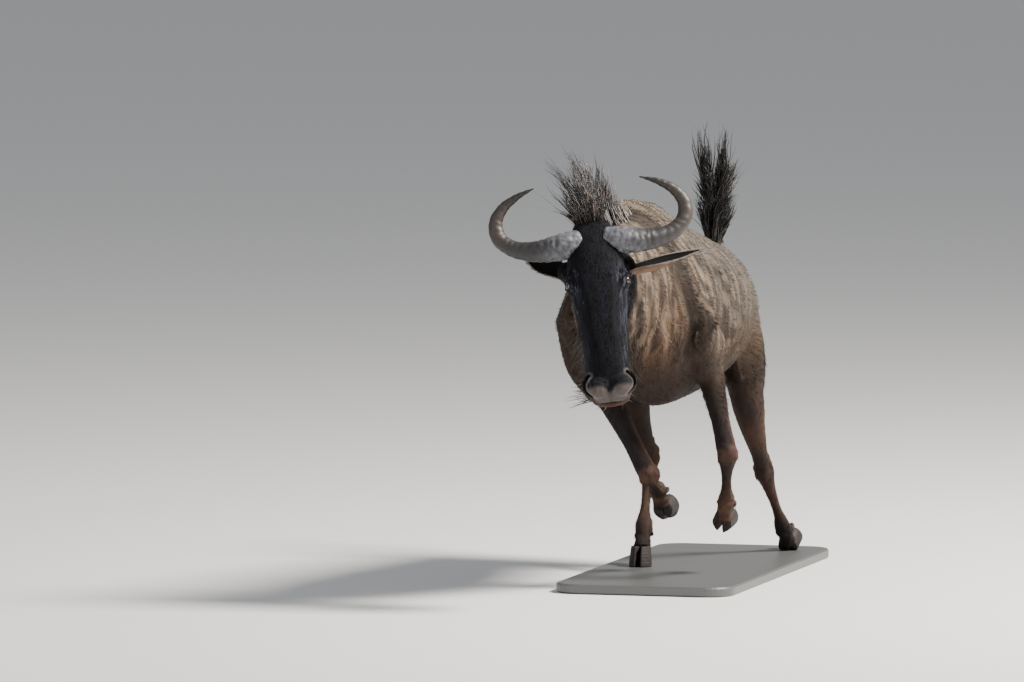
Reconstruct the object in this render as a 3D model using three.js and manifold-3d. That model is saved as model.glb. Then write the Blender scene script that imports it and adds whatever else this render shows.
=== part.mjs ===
// A blue wildebeest at full gallop, life size, in millimetres.
// It faces -Y, +X is its left side and +Z is up. It runs on its two hind feet,
// leaning to its right, with both forelegs folded in the air, and a flat base
// under the hind feet holds it up.
import * as THREE from 'three';
import { mergeVertices } from 'three/addons/utils/BufferGeometryUtils.js';
import Module from 'manifold-3d';

const wasm = await Module();
wasm.setup();

// Driving dimensions.
const GAP = 0.3;                    // space kept between two nodes that meet
const TRUNK_LEAN = 8;               // degrees the trunk leans to its right
const TRUNK_LEAN_HEIGHT = 870;      // height of the line it leans about
const HEAD_AT = [-30, -850, 1110];  // top of the head, between the horns
const HEAD_TURN = 15;               // degrees the face turns to its left
const HEAD_PITCH = 17;              // degrees the nose pokes forward
const HEAD_ROLL = 6.5;              // degrees the muzzle swings to its left
const HEAD_LENGTH = 555;            // crown to the end of the muzzle
const EYE_RADIUS = 20;
const HORN_ROOT = 41;               // radius of the horn at its boss
const CLAW = { length: 74, width: 34, height: 50, split: 4 };
const BASE = { width: 560, length: 1400, thick: 30, corner: 80, bevel: 5 };
const BASE_CENTRE = [30, 190];      // middle of the base under the animal

const vec = (p) => new THREE.Vector3(...p);
const rad = THREE.MathUtils.degToRad;

// Closed three.js geometry to manifold solid, turned outside out if need be.
function solid(geometry, matrix) {
  const shape = geometry.index ? geometry.toNonIndexed() : geometry.clone();
  shape.deleteAttribute('normal');
  shape.deleteAttribute('uv');
  if (matrix) shape.applyMatrix4(matrix);
  const merged = mergeVertices(shape, 1e-3);
  const corners = merged.attributes.position.array;
  const faces = [];
  const index = merged.index.array;
  let volume = 0;
  const [a, b, c] = [new THREE.Vector3(), new THREE.Vector3(), new THREE.Vector3()];
  for (let i = 0; i < index.length; i += 3) {
    const [i0, i1, i2] = [index[i], index[i + 1], index[i + 2]];
    if (i0 === i1 || i1 === i2 || i0 === i2) continue;
    faces.push(i0, i1, i2);
    a.fromArray(corners, 3 * i0);
    b.fromArray(corners, 3 * i1);
    c.fromArray(corners, 3 * i2);
    volume += a.dot(b.cross(c));
  }
  if (volume < 0) faces.reverse();
  return new wasm.Manifold(new wasm.Mesh({
    numProp: 3,
    vertProperties: new Float32Array(corners),
    triVerts: new Uint32Array(faces),
  }));
}

// Closed skin over rings of points. Each end is closed by a fan round its middle, or
// folded ring against itself where the ring is a crescent.
function skinOver(rings, folded = false) {
  const count = rings[0].length;
  const points = rings.flat();
  const index = [];
  for (let i = 0; i < rings.length - 1; i += 1) {
    for (let k = 0; k < count; k += 1) {
      const [a, b] = [i * count + k, i * count + ((k + 1) % count)];
      index.push(a, b, b + count, a, b + count, a + count);
    }
  }
  const fan = (ring, start, turned) => {
    if (folded) {
      for (let k = 0; k < count / 2 - 1; k += 1) {
        const [a, b, c, d] = [k, k + 1, count - 2 - k, count - 1 - k].map((at) => start + at);
        index.push(...(turned ? [a, b, c, a, c, d] : [c, b, a, d, c, a]));
      }
      return;
    }
    const middle = new THREE.Vector3();
    for (const point of ring) middle.addScaledVector(point, 1 / count);
    points.push(middle);
    for (let k = 0; k < count; k += 1) {
      const [a, b] = [start + k, start + ((k + 1) % count)];
      index.push(points.length - 1, turned ? a : b, turned ? b : a);
    }
  };
  fan(rings[0], 0, false);
  fan(rings.at(-1), (rings.length - 1) * count, true);
  const geometry = new THREE.BufferGeometry().setFromPoints(points);
  geometry.setIndex(index);
  return geometry;
}

const join = (solids) => solids.reduce((sum, next) => sum.add(next));

// The largest closed surface of a solid: a sealed hollow or loose scrap goes.
function largest(shape) {
  const pieces = shape.decompose();
  return pieces.reduce((best, next) => (next.volume() > best.volume() ? next : best));
}

// Smooth value of a row [t, a, b, c...] of sizes at t.
function sizesAt(rows, t) {
  let i = 0;
  while (i < rows.length - 2 && rows[i + 1][0] < t) i += 1;
  const [low, high] = [rows[i], rows[i + 1]];
  const before = rows[Math.max(i - 1, 0)];
  const after = rows[Math.min(i + 2, rows.length - 1)];
  const span = high[0] - low[0];
  const f = THREE.MathUtils.clamp((t - low[0]) / span, 0, 1);
  const slope = (p, q, k) => (q[0] === p[0] ? 0 : (q[k] - p[k]) / (q[0] - p[0]) * span);
  return low.slice(1).map((_, j) => {
    const k = j + 1;
    const m0 = slope(before, high, k);
    const m1 = slope(low, after, k);
    const f2 = f * f;
    const f3 = f2 * f;
    return (2 * f3 - 3 * f2 + 1) * low[k] + (f3 - 2 * f2 + f) * m0
      + (3 * f2 - 2 * f3) * high[k] + (f3 - f2) * m1;
  });
}

// A form is { path, rows, front, sides, steps, square }: an oval section whose
// half sizes [t, wide, fore, hind] change along a path of points.
function sectionAt(form, t, grow = 0) {
  const curve = form.path.length > 2
    ? new THREE.CatmullRomCurve3(form.path.map(vec))
    : new THREE.LineCurve3(vec(form.path[0]), vec(form.path[1]));
  const centre = curve.getPointAt(t);
  const axis = curve.getTangentAt(t).normalize();
  const fore = vec(form.front).addScaledVector(axis, -vec(form.front).dot(axis)).normalize();
  const side = new THREE.Vector3().crossVectors(axis, fore);
  const [wide, ahead, behind] = sizesAt(form.rows, t).map((size) => size + grow);
  return { centre, axis, fore, side, wide, ahead, behind };
}

// Point on a section at an angle from its front, and how far out it lies.
function skinPoint(form, section, angle, scale = 1) {
  const power = form.square ?? 1;
  const [c, s] = [Math.cos(angle), Math.sin(angle)];
  const out = Math.sign(c) * Math.abs(c) ** power * (c > 0 ? section.ahead : section.behind);
  const across = Math.sign(s) * Math.abs(s) ** power * section.wide;
  return section.centre.clone()
    .addScaledVector(section.fore, out * scale)
    .addScaledVector(section.side, across * scale);
}

// Closed loft of a form, with both ends rounded off.
function loft(form, grow = 0) {
  const sides = form.sides ?? 16;
  const steps = form.steps ?? 10;
  const rings = [];
  const ring = (section, scale, shift) => {
    const points = [];
    for (let k = 0; k < sides; k += 1) {
      const point = skinPoint(form, section, (k / sides) * Math.PI * 2, scale);
      points.push(point.addScaledVector(section.axis, shift));
    }
    rings.push(points);
  };
  const round = form.round ?? 0.6;
  const first = sectionAt(form, 0, grow);
  const last = sectionAt(form, 1, grow);
  const reach = (section) => round * Math.min(section.wide, section.ahead + section.behind);
  ring(first, 0.35, -reach(first));
  ring(first, 0.8, -0.6 * reach(first));
  for (let i = 0; i <= steps; i += 1) ring(sectionAt(form, i / steps, grow), 1, 0);
  ring(last, 0.8, 0.6 * reach(last));
  ring(last, 0.35, reach(last));
  return solid(skinOver(rings));
}

// An ellipsoid with half sizes along X, Y and Z, turned by degrees.
function bulge(at, half, turn = [0, 0, 0], detail = 7) {
  const place = new THREE.Matrix4().compose(
    vec(at),
    new THREE.Quaternion().setFromEuler(new THREE.Euler(...turn.map(rad))),
    vec(half),
  );
  return solid(new THREE.SphereGeometry(1, detail, Math.round(detail * 0.7)), place);
}

// Seeded draws, so that the hair falls the same way at every build.
function draws(seed) {
  let state = seed;
  return (low, high) => {
    state = (state * 1664525 + 1013904223) % 4294967296;
    return low + (high - low) * (state / 4294967296);
  };
}

// One flat, tapered lock of hair that bends on its way to the tip.
function lock({ root, toward, bend, broad, length, wide, thick }, grow = 0) {
  const steps = 4;
  const rings = [];
  const start = vec(toward).normalize();
  const pull = vec(bend);
  for (let i = 0; i <= steps; i += 1) {
    const t = i / steps;
    const axis = start.clone().addScaledVector(pull, 2 * t).normalize();
    const across = vec(broad).addScaledVector(axis, -vec(broad).dot(axis)).normalize();
    const through = new THREE.Vector3().crossVectors(axis, across);
    const taper = Math.min(1, 0.7 + 1.5 * t) * (1 - t ** 2.2) + 0.04;
    const centre = vec(root)
      .addScaledVector(start, (length + grow) * t)
      .addScaledVector(pull, length * t * t);
    const half = wide * taper + grow;
    const depth = thick * (1 - 0.75 * t) + grow;
    rings.push([[half, 0], [0, depth], [-half, 0], [0, -depth]].map(([a, b]) => (
      centre.clone().addScaledVector(across, a).addScaledVector(through, b))));
  }
  return solid(skinOver(rings));
}

// A thin wall across a joint: cutting with it leaves the gap between nodes.
function cutWall(at, normal, width, height) {
  const turn = new THREE.Quaternion().setFromUnitVectors(
    new THREE.Vector3(0, 0, 1),
    vec(normal).normalize(),
  );
  const place = new THREE.Matrix4().compose(vec(at), turn, new THREE.Vector3(1, 1, 1));
  return solid(new THREE.BoxGeometry(width, height, GAP), place);
}

// Head frame: X to its left, -Y out of the face, Z up along the face.
const headFrame = new THREE.Matrix4()
  .makeRotationFromEuler(new THREE.Euler(rad(-HEAD_PITCH), rad(-HEAD_ROLL), rad(HEAD_TURN), 'ZYX'))
  .setPosition(...HEAD_AT);
const headPoint = (x, y, z) => vec([x, y, z]).applyMatrix4(headFrame).toArray();
const inHead = (shape) => shape.transform([...headFrame.elements]);

// Trunk: one barrel of upright sections along Y, then leaned to its right.
// Each row is [y, middle height, half width, rise, drop, ridge, keel].
const TRUNK_ROWS = [
  [-625, 800, 70, 70, 80, 0.1, 0.1],
  [-600, 800, 104, 142, 126, 0.1, 0.1],
  [-540, 815, 160, 238, 192, 0.15, 0.1],
  [-460, 840, 205, 322, 262, 0.3, 0.2],
  [-380, 845, 215, 335, 302, 0.35, 0.25],
  [-250, 840, 228, 303, 306, 0.3, 0.25],
  [-100, 825, 243, 275, 285, 0.25, 0.15],
  [60, 812, 246, 250, 258, 0.22, 0.1],
  [180, 810, 228, 225, 232, 0.2, 0.1],
  [290, 815, 190, 196, 190, 0.15, 0.1],
  [390, 820, 158, 166, 150, 0.1, 0.1],
  [470, 830, 122, 128, 120, 0.1, 0.1],
  [525, 835, 76, 82, 85, 0, 0],
  [548, 838, 34, 40, 40, 0, 0],
];

function trunk() {
  const sides = 18;
  const steps = 17;
  const [start, end] = [TRUNK_ROWS[0][0], TRUNK_ROWS.at(-1)[0]];
  const rings = [];
  for (let i = 0; i <= steps; i += 1) {
    const y = start + (end - start) * (0.5 - 0.5 * Math.cos((i / steps) * Math.PI));
    const [middle, wide, rise, drop, ridge, keel] = sizesAt(TRUNK_ROWS, y);
    const points = [];
    for (let k = 0; k < sides; k += 1) {
      const angle = (k / sides) * Math.PI * 2;
      const [c, s] = [Math.cos(angle), Math.sin(angle)];
      const pinch = 1 - (s > 0 ? ridge : keel) * s * s;
      points.push(new THREE.Vector3(wide * c * pinch, y, middle + s * (s > 0 ? rise : drop)));
    }
    rings.push(points);
  }
  const lean = new THREE.Matrix4().makeTranslation(0, 0, TRUNK_LEAN_HEIGHT)
    .multiply(new THREE.Matrix4().makeRotationY(rad(-TRUNK_LEAN)))
    .multiply(new THREE.Matrix4().makeTranslation(0, 0, -TRUNK_LEAN_HEIGHT));
  return solid(skinOver(rings), lean);
}

// Neck: from the shoulders forward to the back of the head, crest upwards.
const NECK = {
  path: [[-8, -360, 885], [-16, -560, 925], [-24, -700, 972], headPoint(0, 70, -95)],
  rows: [[0, 180, 288, 290], [0.3, 172, 254, 262], [0.5, 148, 210, 230],
    [0.75, 110, 150, 180], [1, 88, 92, 138]],
  front: [-0.05, 0, 1],
  sides: 18,
  steps: 7,
};

// Legs. Each bone's flesh is one form, and the joints between them are bulges.
// Cut is how far down the forearm or the gaskin the leg is parted from the trunk.
const LEGS = {
  fore_left: {
    cut: 0.36,
    shoulder: [186, -438, 800],
    blade: [90, -330, 1045],
    elbow: [178, -228, 655],
    knee: [249, -270, 392],
    fetlock: [203, -104, 222],
    foot: { at: [190, -88, 172], toe: [-0.28, 0.42, -0.86], sole: [0.1, 0.88, 0.4] },
  },
  fore_right: {
    cut: 0.14,
    shoulder: [-182, -446, 790],
    blade: [-138, -330, 1030],
    elbow: [-146, -262, 588],
    knee: [7, -300, 324],
    fetlock: [-14, -92, 252],
    foot: { at: [-8, -74, 208], toe: [0.28, 0.25, -0.92], sole: [0.02, 0.96, 0.26] },
  },
  hind_left: {
    cut: 0.12,
    hip: [112, 372, 800],
    stifle: [165, 292, 530],
    hock: [170, 515, 276],
    fetlock: [195, 690, 66],
    foot: { at: [198, 722, 25], toe: [0.05, 0.62, -0.78], sole: [0, 0.78, 0.62] },
  },
  hind_right: {
    cut: 0.42,
    hip: [-128, 362, 790],
    stifle: [-168, 140, 590],
    hock: [-150, 335, 330],
    fetlock: [-124, 148, 108],
    foot: { at: [-121, 118, 56.3], toe: [0, -1, 0], sole: [0, 0, -1] },
  },
};

const mix = (p, q, t) => p.map((v, i) => v + (q[i] - v) * t);

function foreleg(leg) {
  const { blade, shoulder, elbow, knee, fetlock, foot } = leg;
  const ahead = [0, -1, -0.1];
  const upper = [
    loft({ path: [blade, mix(blade, shoulder, 0.5), shoulder],
      rows: [[0, 34, 70, 90], [0.5, 52, 92, 105], [1, 62, 70, 92]],
      front: ahead, sides: 10, steps: 4 }),
    loft({ path: [shoulder, elbow],
      rows: [[0, 62, 78, 70], [0.5, 64, 78, 92], [1, 50, 60, 66]],
      front: [0, -0.5, 0.85], sides: 10, steps: 3 }),
    loft({ path: [mix(elbow, knee, -0.3), elbow, mix(elbow, knee, 0.5), knee],
      rows: [[0, 50, 66, 62], [0.23, 45, 58, 62], [0.5, 36, 44, 46], [0.75, 32, 34, 34],
        [0.92, 35, 34, 30], [1, 36, 34, 28]],
      front: ahead, sides: 10, steps: 7 }),
  ];
  const shin = [fetlock[0] - knee[0], fetlock[1] - knee[1], fetlock[2] - knee[2]];
  const face = new THREE.Vector3(0, -shin[2], shin[1]).normalize().negate().toArray();
  const lower = [
    bulge(mix(knee, fetlock, 0.02), [38, 37, 40]),
    loft({ path: [mix(knee, fetlock, 0.05), fetlock],
      rows: [[0, 34, 30, 34], [0.18, 26, 25, 29], [0.4, 19, 21, 23], [0.7, 19, 20, 22],
        [0.9, 27, 26, 30], [1, 29, 27, 31]],
      front: face, sides: 8, steps: 6 }),
    loft({ path: [fetlock, foot.at],
      rows: [[0, 28, 26, 30], [0.5, 26, 24, 26], [1, 33, 30, 28]],
      front: foot.sole.map((v) => -v), sides: 8, steps: 2, round: 0.2 }),
    ...dewclaws(fetlock, foot),
  ];
  return { upper, lower };
}

function hindleg(leg) {
  const { hip, stifle, hock, fetlock, foot } = leg;
  const ahead = [0, -1, 0.2];
  const upper = [
    loft({ path: [mix(hip, stifle, -0.25), mix(hip, stifle, 0.45), mix(hip, stifle, 0.85)],
      rows: [[0, 60, 120, 120], [0.45, 74, 140, 130], [0.8, 70, 105, 118], [1, 60, 74, 92]],
      front: ahead, sides: 12, steps: 5 }),
    loft({ path: [mix(hip, stifle, 0.8), mix(stifle, hock, 0.3), hock],
      rows: [[0, 58, 70, 92], [0.3, 50, 58, 76], [0.6, 37, 40, 48], [0.85, 30, 30, 38],
        [1, 33, 30, 42]],
      front: ahead, sides: 10, steps: 7 }),
  ];
  const heel = mix(hock, stifle, 0.1);
  const lower = [
    bulge(mix(hock, fetlock, 0.03), [34, 38, 42]),
    loft({ path: [[heel[0], heel[1] + 36, heel[2] + 22], mix(hock, fetlock, 0.35)],
      rows: [[0, 18, 14, 15], [0.4, 22, 30, 22], [1, 18, 20, 20]],
      front: ahead, sides: 10, steps: 4 }),
    loft({ path: [mix(hock, fetlock, 0.04), fetlock],
      rows: [[0, 33, 32, 36], [0.2, 25, 27, 30], [0.45, 18, 21, 23], [0.72, 18, 20, 22],
        [0.92, 28, 27, 30], [1, 29, 28, 31]],
      front: ahead, sides: 8, steps: 6 }),
    loft({ path: [fetlock, foot.at],
      rows: [[0, 28, 26, 30], [0.5, 26, 24, 26], [1, 33, 30, 30]],
      front: foot.sole[2] < -0.5 ? [0, -1, 0] : foot.sole.map((v) => -v),
      sides: 8, steps: 2, round: 0.2 }),
    ...dewclaws(fetlock, foot),
  ];
  return { upper, lower };
}

// Axes of a foot: toe direction, sole direction and the side between them.
function footAxes(foot) {
  const toe = vec(foot.toe).normalize();
  const sole = vec(foot.sole).addScaledVector(toe, -vec(foot.sole).dot(toe)).normalize();
  const side = new THREE.Vector3().crossVectors(sole, toe).normalize();
  return { toe, sole, side };
}

// Two small horny dewclaws behind the fetlock.
function dewclaws(fetlock, foot) {
  const { toe, sole, side } = footAxes(foot);
  const rear = vec(fetlock).lerp(vec(foot.at), 0.2);
  const back = foot.sole[2] < -0.5 ? toe.clone().negate() : sole.clone();
  return [-1, 1].map((sign) => {
    const at = rear.clone().addScaledVector(side, sign * 17).addScaledVector(back, 30);
    return bulge(at.toArray(), [11, 12, 17], [0, 0, 0], 5);
  });
}

// One claw: outline rings from the flat sole up to the coronet. The inner wall
// is flat, the outer wall curves, and the toe comes to a blunt point.
const CLAW_ROOT = 6;  // from the end of the pastern to the top of the claws

function claw(foot, sign) {
  const { toe, sole, side } = footAxes(foot);
  const rings = [];
  const levels = [[0, 1, 1], [0.5, 0.95, 0.94], [1, 0.72, 0.78]];
  const count = 12;
  for (const [rise, long, wide] of levels) {
    const points = [];
    for (let k = 0; k < count; k += 1) {
      const angle = (k / count) * Math.PI * 2;
      const along = Math.cos(angle);
      const taper = along > 0 ? 1 - 0.5 * along * along : 1;
      const across = Math.sin(angle) * taper;
      const inner = across < 0 ? 0.35 : 1;
      const length = CLAW.length * 0.5 * along * long - CLAW.length * 0.1 * rise;
      const width = CLAW.split / 2 + CLAW.width * (0.26 + across * inner * 0.74) * wide;
      points.push(vec(foot.at)
        .addScaledVector(toe, length + CLAW.length * 0.28)
        .addScaledVector(side, sign * width)
        .addScaledVector(sole, CLAW.height * (1 - rise) + CLAW_ROOT));
    }
    rings.push(points);
  }
  return solid(skinOver(rings));
}

// Block that trims the pastern flat, just short of the top of the claws.
function clawRoom(foot) {
  const { toe, sole, side } = footAxes(foot);
  const [width, depth] = [110, 110];
  const middle = vec(foot.at)
    .addScaledVector(sole, CLAW_ROOT - GAP + depth / 2)
    .addScaledVector(toe, CLAW.length * 0.28);
  return solid(new THREE.BoxGeometry(width, depth, width), new THREE.Matrix4()
    .makeBasis(side, sole, new THREE.Vector3().crossVectors(side, sole))
    .setPosition(middle));
}

// Head, built in the head frame.
const HEAD = {
  path: [[0, 0, 25], [0, 0, 25 - HEAD_LENGTH]],
  rows: [[0, 50, 20, 70], [0.08, 76, 46, 105], [0.19, 86, 64, 122], [0.31, 90, 73, 128],
    [0.41, 84, 76, 124], [0.51, 76, 76, 108], [0.64, 72, 75, 80], [0.76, 69, 71, 60],
    [0.87, 71, 63, 50], [0.95, 69, 52, 44], [1, 58, 36, 32]],
  front: [0, -1, 0],
  sides: 16,
  steps: 12,
  square: 0.85,
  round: 0.3,
};
const EYE_AT = [78, -20, -172];
const EYE_LOOK = [0.9, -0.42, 0.05];
const mirrored = (p, side) => [p[0] * side, p[1], p[2]];

// A lid is a tapered roll that arches over or under the eyeball.
function lid(side, above) {
  const look = vec(mirrored(EYE_LOOK, side)).normalize();
  const up = new THREE.Vector3(0, -0.25, 1).addScaledVector(look, -look.z).normalize();
  const ahead = new THREE.Vector3().crossVectors(up, look).multiplyScalar(side).normalize();
  const arc = [];
  const steps = 6;
  for (let i = 0; i <= steps; i += 1) {
    const angle = (i / steps) * Math.PI;
    const lift = Math.sin(angle) * EYE_RADIUS * (above ? 0.62 : 0.52) * (above ? 1 : -1);
    arc.push(vec(mirrored(EYE_AT, side))
      .addScaledVector(look, EYE_RADIUS * (0.62 + 0.2 * Math.sin(angle)))
      .addScaledVector(ahead, Math.cos(angle) * EYE_RADIUS * 0.98)
      .addScaledVector(up, lift).toArray());
  }
  const thick = above ? 7.5 : 6;
  return loft({ path: arc,
    rows: [[0, 3.5, 3.5, 3.5], [0.5, thick, thick, thick], [1, 3.5, 3.5, 3.5]],
    front: up.toArray(), sides: 6, steps: 4 });
}

// Nostril: a comma-shaped slit at the corner of the muzzle, in a raised rim.
function nostril(side, size) {
  const arc = [[55, -46, -438], [68, -42, -462], [67, -44, -488], [50, -52, -511]];
  return loft({ path: arc.map((p) => mirrored(p, side)),
    rows: [[0, 5, 5, 5], [0.3, 9, 8, 9], [0.65, 6, 7, 6], [1, 3, 3, 3]]
      .map((row) => row.map((v, i) => (i ? v + size : v))),
    front: [side, -0.6, 0], sides: 7, steps: 4 });
}

function headFlesh(grow = 0) {
  const parts = [loft(HEAD, grow)];
  const swell = (at, half, turn) => parts.push(bulge(at, half.map((v) => v + grow), turn));
  for (const side of [-1, 1]) {
    swell([side * 66, -14, -172], [32, 44, 40]);
    swell([side * 70, -30, -142], [26, 26, 16], [0, side * 12, 0]);
    swell([side * 60, 62, -205], [27, 62, 78], [16, 0, 0]);
    swell([side * 34, -44, -492], [38, 24, 34]);
    swell([side * 88, 74, -104], [34, 36, 34]);
    parts.push(lid(side, true), lid(side, false));
    parts.push(nostril(side, 5));
  }
  swell([0, 34, -505], [44, 28, 30]);
  return join(parts);
}

// Mouth line: a groove that runs back from the front lip to both corners.
function mouthGroove() {
  const slit = solid(new THREE.BoxGeometry(200, 3, 130), new THREE.Matrix4()
    .makeRotationX(rad(-16))
    .setPosition(0, 16, -500));
  return slit.subtract(loft(HEAD, -9));
}

// Horn: the broad boss meets its fellow on the crown, then the horn sweeps out
// and down, and turns up and in to a smooth tip.
const HORN = {
  path: [[26, -14, -30], [84, -20, -44], [140, -14, -50], [192, -4, -46], [244, 6, -28],
    [282, 12, 10], [286, 10, 58], [262, 4, 96], [216, -4, 126], [160, -12, 146]],
  rows: [[0, 36, 34, 34], [0.12, 42, HORN_ROOT, 42], [0.3, 34, 33, 33], [0.45, 27, 26, 26],
    [0.62, 24, 22, 22], [0.78, 17, 16, 16], [0.9, 10, 10, 10], [1, 3, 3, 3]],
  front: [0, -1, 0.01],
  sides: 10,
  steps: 15,
  round: 0.5,
};
const hornOf = (side) => ({ ...HORN, path: HORN.path.map((p) => mirrored(p, side)) });

// Ear: a leaf-shaped shell, rolled into a cup that opens to the front.
// The rows are [t, half width, depth of the cup, wall].
const EAR_ROWS = [[0, 20, 20, 9], [0.12, 26, 26, 7], [0.35, 36, 26, 5], [0.6, 36, 18, 4],
  [0.82, 22, 10, 3.5], [1, 6, 5, 2.5]];
const EARS = {
  left: { root: [96, 62, -116], tip: [318, 96, -76], open: [-0.25, -1, 0.75] },
  right: { root: [-96, 70, -112], tip: [-206, 168, -12], open: [-0.2, -1, -0.5] },
};

function ear({ root, tip, open }, grow = 0) {
  const along = vec(tip).sub(vec(root));
  const length = along.length();
  along.normalize();
  const mouth = vec(open).addScaledVector(along, -vec(open).dot(along)).normalize();
  const across = new THREE.Vector3().crossVectors(along, mouth);
  const rings = [];
  const steps = 8;
  const half = 5;
  for (let i = 0; i <= steps; i += 1) {
    const t = i / steps;
    const [wide, deep, wall] = sizesAt(EAR_ROWS, t);
    const past = grow * Math.sign(2 * t - 1);
    const centre = vec(root).addScaledVector(along, length * t + past);
    const points = [];
    const place = (x, y) => points.push(centre.clone()
      .addScaledVector(across, x).addScaledVector(mouth, y));
    for (let k = 0; k <= half; k += 1) {
      const angle = (k / half) * Math.PI;
      place(Math.cos(angle) * (wide + grow), -Math.sin(angle) * (deep + grow));
    }
    for (let k = half; k >= 0; k -= 1) {
      const angle = (k / half) * Math.PI;
      place(Math.cos(angle) * (wide - wall - grow), -Math.sin(angle) * (deep - wall - grow) + grow);
    }
    rings.push(points);
  }
  return solid(skinOver(rings, true));
}

// Mane: rows of locks along the crest of the neck, flung up and to its right.
const MANE = { rows: 2, along: 10, from: 0.2, to: 0.97, sunk: 16, wide: 20, thick: 4.5 };
const MANE_LENGTHS = [[0, 80], [0.25, 150], [0.45, 235], [0.7, 280], [1, 225]];

function maneLocks() {
  const draw = draws(11);
  const locks = [];
  for (let i = 0; i < MANE.along; i += 1) {
    for (let row = 0; row < MANE.rows; row += 1) {
      const t = MANE.from + (MANE.to - MANE.from) * ((i + draw(0.1, 0.9)) / MANE.along);
      const section = sectionAt(NECK, t);
      const spread = row - (MANE.rows - 1) / 2;
      const at = skinPoint(NECK, section, spread * 0.35);
      const [length] = sizesAt(MANE_LENGTHS, t);
      locks.push(lock({
        root: at.addScaledVector(section.fore, -MANE.sunk).toArray(),
        toward: [-0.2 + spread * 0.12 + draw(-0.12, 0.12), draw(-0.05, 0.16), 1],
        bend: [draw(-0.55, -0.02), draw(-0.1, 0.3), draw(-0.2, 0)],
        broad: [draw(-0.5, 0.5), 1, 0],
        length: length * draw(0.82, 1.08) + MANE.sunk,
        wide: MANE.wide * draw(0.8, 1.15),
        thick: MANE.thick,
      }));
    }
  }
  return locks;
}

// Throat beard: two rows of locks under the neck, swept back and down.
const THROAT = { rows: 2, along: 5, from: 0.6, to: 0.97, sunk: 16, length: 135, wide: 18, thick: 4 };

function throatLocks() {
  const draw = draws(23);
  const locks = [];
  for (let i = 0; i < THROAT.along; i += 1) {
    for (let row = 0; row < THROAT.rows; row += 1) {
      const t = THROAT.from + (THROAT.to - THROAT.from) * ((i + draw(0.2, 0.8)) / THROAT.along);
      const section = sectionAt(NECK, t);
      const spread = row - (THROAT.rows - 1) / 2;
      const at = skinPoint(NECK, section, Math.PI + spread * 0.24);
      locks.push(lock({
        root: at.addScaledVector(section.fore, THROAT.sunk).toArray(),
        toward: [-0.2 - spread * 0.2 + draw(-0.1, 0.1), draw(0.25, 0.5), -1],
        bend: [draw(-0.3, 0.15), draw(0.1, 0.4), 0],
        broad: [draw(-0.4, 0.4), 1, 0],
        length: THROAT.length * draw(0.75, 1.15) + THROAT.sunk,
        wide: THROAT.wide * draw(0.8, 1.15),
        thick: THROAT.thick,
      }));
    }
  }
  return locks;
}

// Chin beard and the tuft on the crown, in the head frame.
const CHIN = { count: 6, length: 120, wide: 13, thick: 4 };
const CROWN = { count: 4, length: 62, wide: 13, thick: 4 };

function headLocks(grow = 0) {
  const draw = draws(37);
  const locks = [];
  for (let i = 0; i < CHIN.count; i += 1) {
    const spread = i / (CHIN.count - 1) - 0.5;
    locks.push(lock({
      root: [spread * 52, 30 + draw(0, 8), -470 + draw(-20, 60)],
      toward: [spread * 2 - 0.5 + draw(-0.1, 0.1), 1, draw(-0.35, 0.15)],
      bend: [draw(-0.3, 0), 0.1, draw(-0.3, 0.1)],
      broad: [0, 0.2, 1],
      length: CHIN.length * draw(0.8, 1.2),
      wide: CHIN.wide,
      thick: CHIN.thick,
    }, grow));
  }
  for (let i = 0; i < CROWN.count; i += 1) {
    const spread = i / (CROWN.count - 1) - 0.5;
    locks.push(lock({
      root: [spread * 26, 0, 8],
      toward: [spread * 0.8, draw(-0.35, 0.2), 1],
      bend: [draw(-0.2, 0.1), draw(-0.5, -0.1), 0],
      broad: [1, 0.2, 0],
      length: CROWN.length * draw(0.8, 1.2),
      wide: CROWN.wide,
      thick: CROWN.thick,
    }, grow));
  }
  return locks;
}

// Tail: a fleshy dock held up, and a long tuft flung up from its outer half.
const TAIL_DOCK = {
  path: [[-2, 480, 905], [0, 540, 960], [-6, 580, 1045], [-18, 596, 1130]],
  rows: [[0, 40, 36, 36], [0.3, 30, 26, 26], [0.7, 20, 18, 18], [1, 13, 12, 12]],
  front: [0, 1, 0.4],
  sides: 12,
  steps: 10,
};
const TUFT = { count: 15, from: 0.36, length: [170, 290], wide: 17, thick: 4.5 };

function tuftLocks() {
  const draw = draws(53);
  const locks = [];
  for (let i = 0; i < TUFT.count; i += 1) {
    const t = TUFT.from + (1 - TUFT.from) * ((i + 0.5) / TUFT.count);
    const section = sectionAt(TAIL_DOCK, t);
    const turn = i * 2.4;
    const at = skinPoint(TAIL_DOCK, section, turn, 0.3);
    const out = at.clone().sub(section.centre).normalize();
    const [x, y] = [out.x * 0.3 + 0.05, out.y * 0.24];
    locks.push(lock({
      root: at.toArray(),
      toward: [x + draw(-0.12, 0.12), y + draw(-0.1, 0.1), 1],
      bend: [x * 0.3 + draw(-0.16, 0.16), y * 0.4 + draw(-0.1, 0.1), draw(-0.2, 0)],
      broad: [-out.y, out.x, 0.1],
      length: draw(...TUFT.length) + 40 * t,
      wide: TUFT.wide * draw(0.8, 1.15),
      thick: TUFT.thick,
    }));
  }
  return locks;
}

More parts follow.
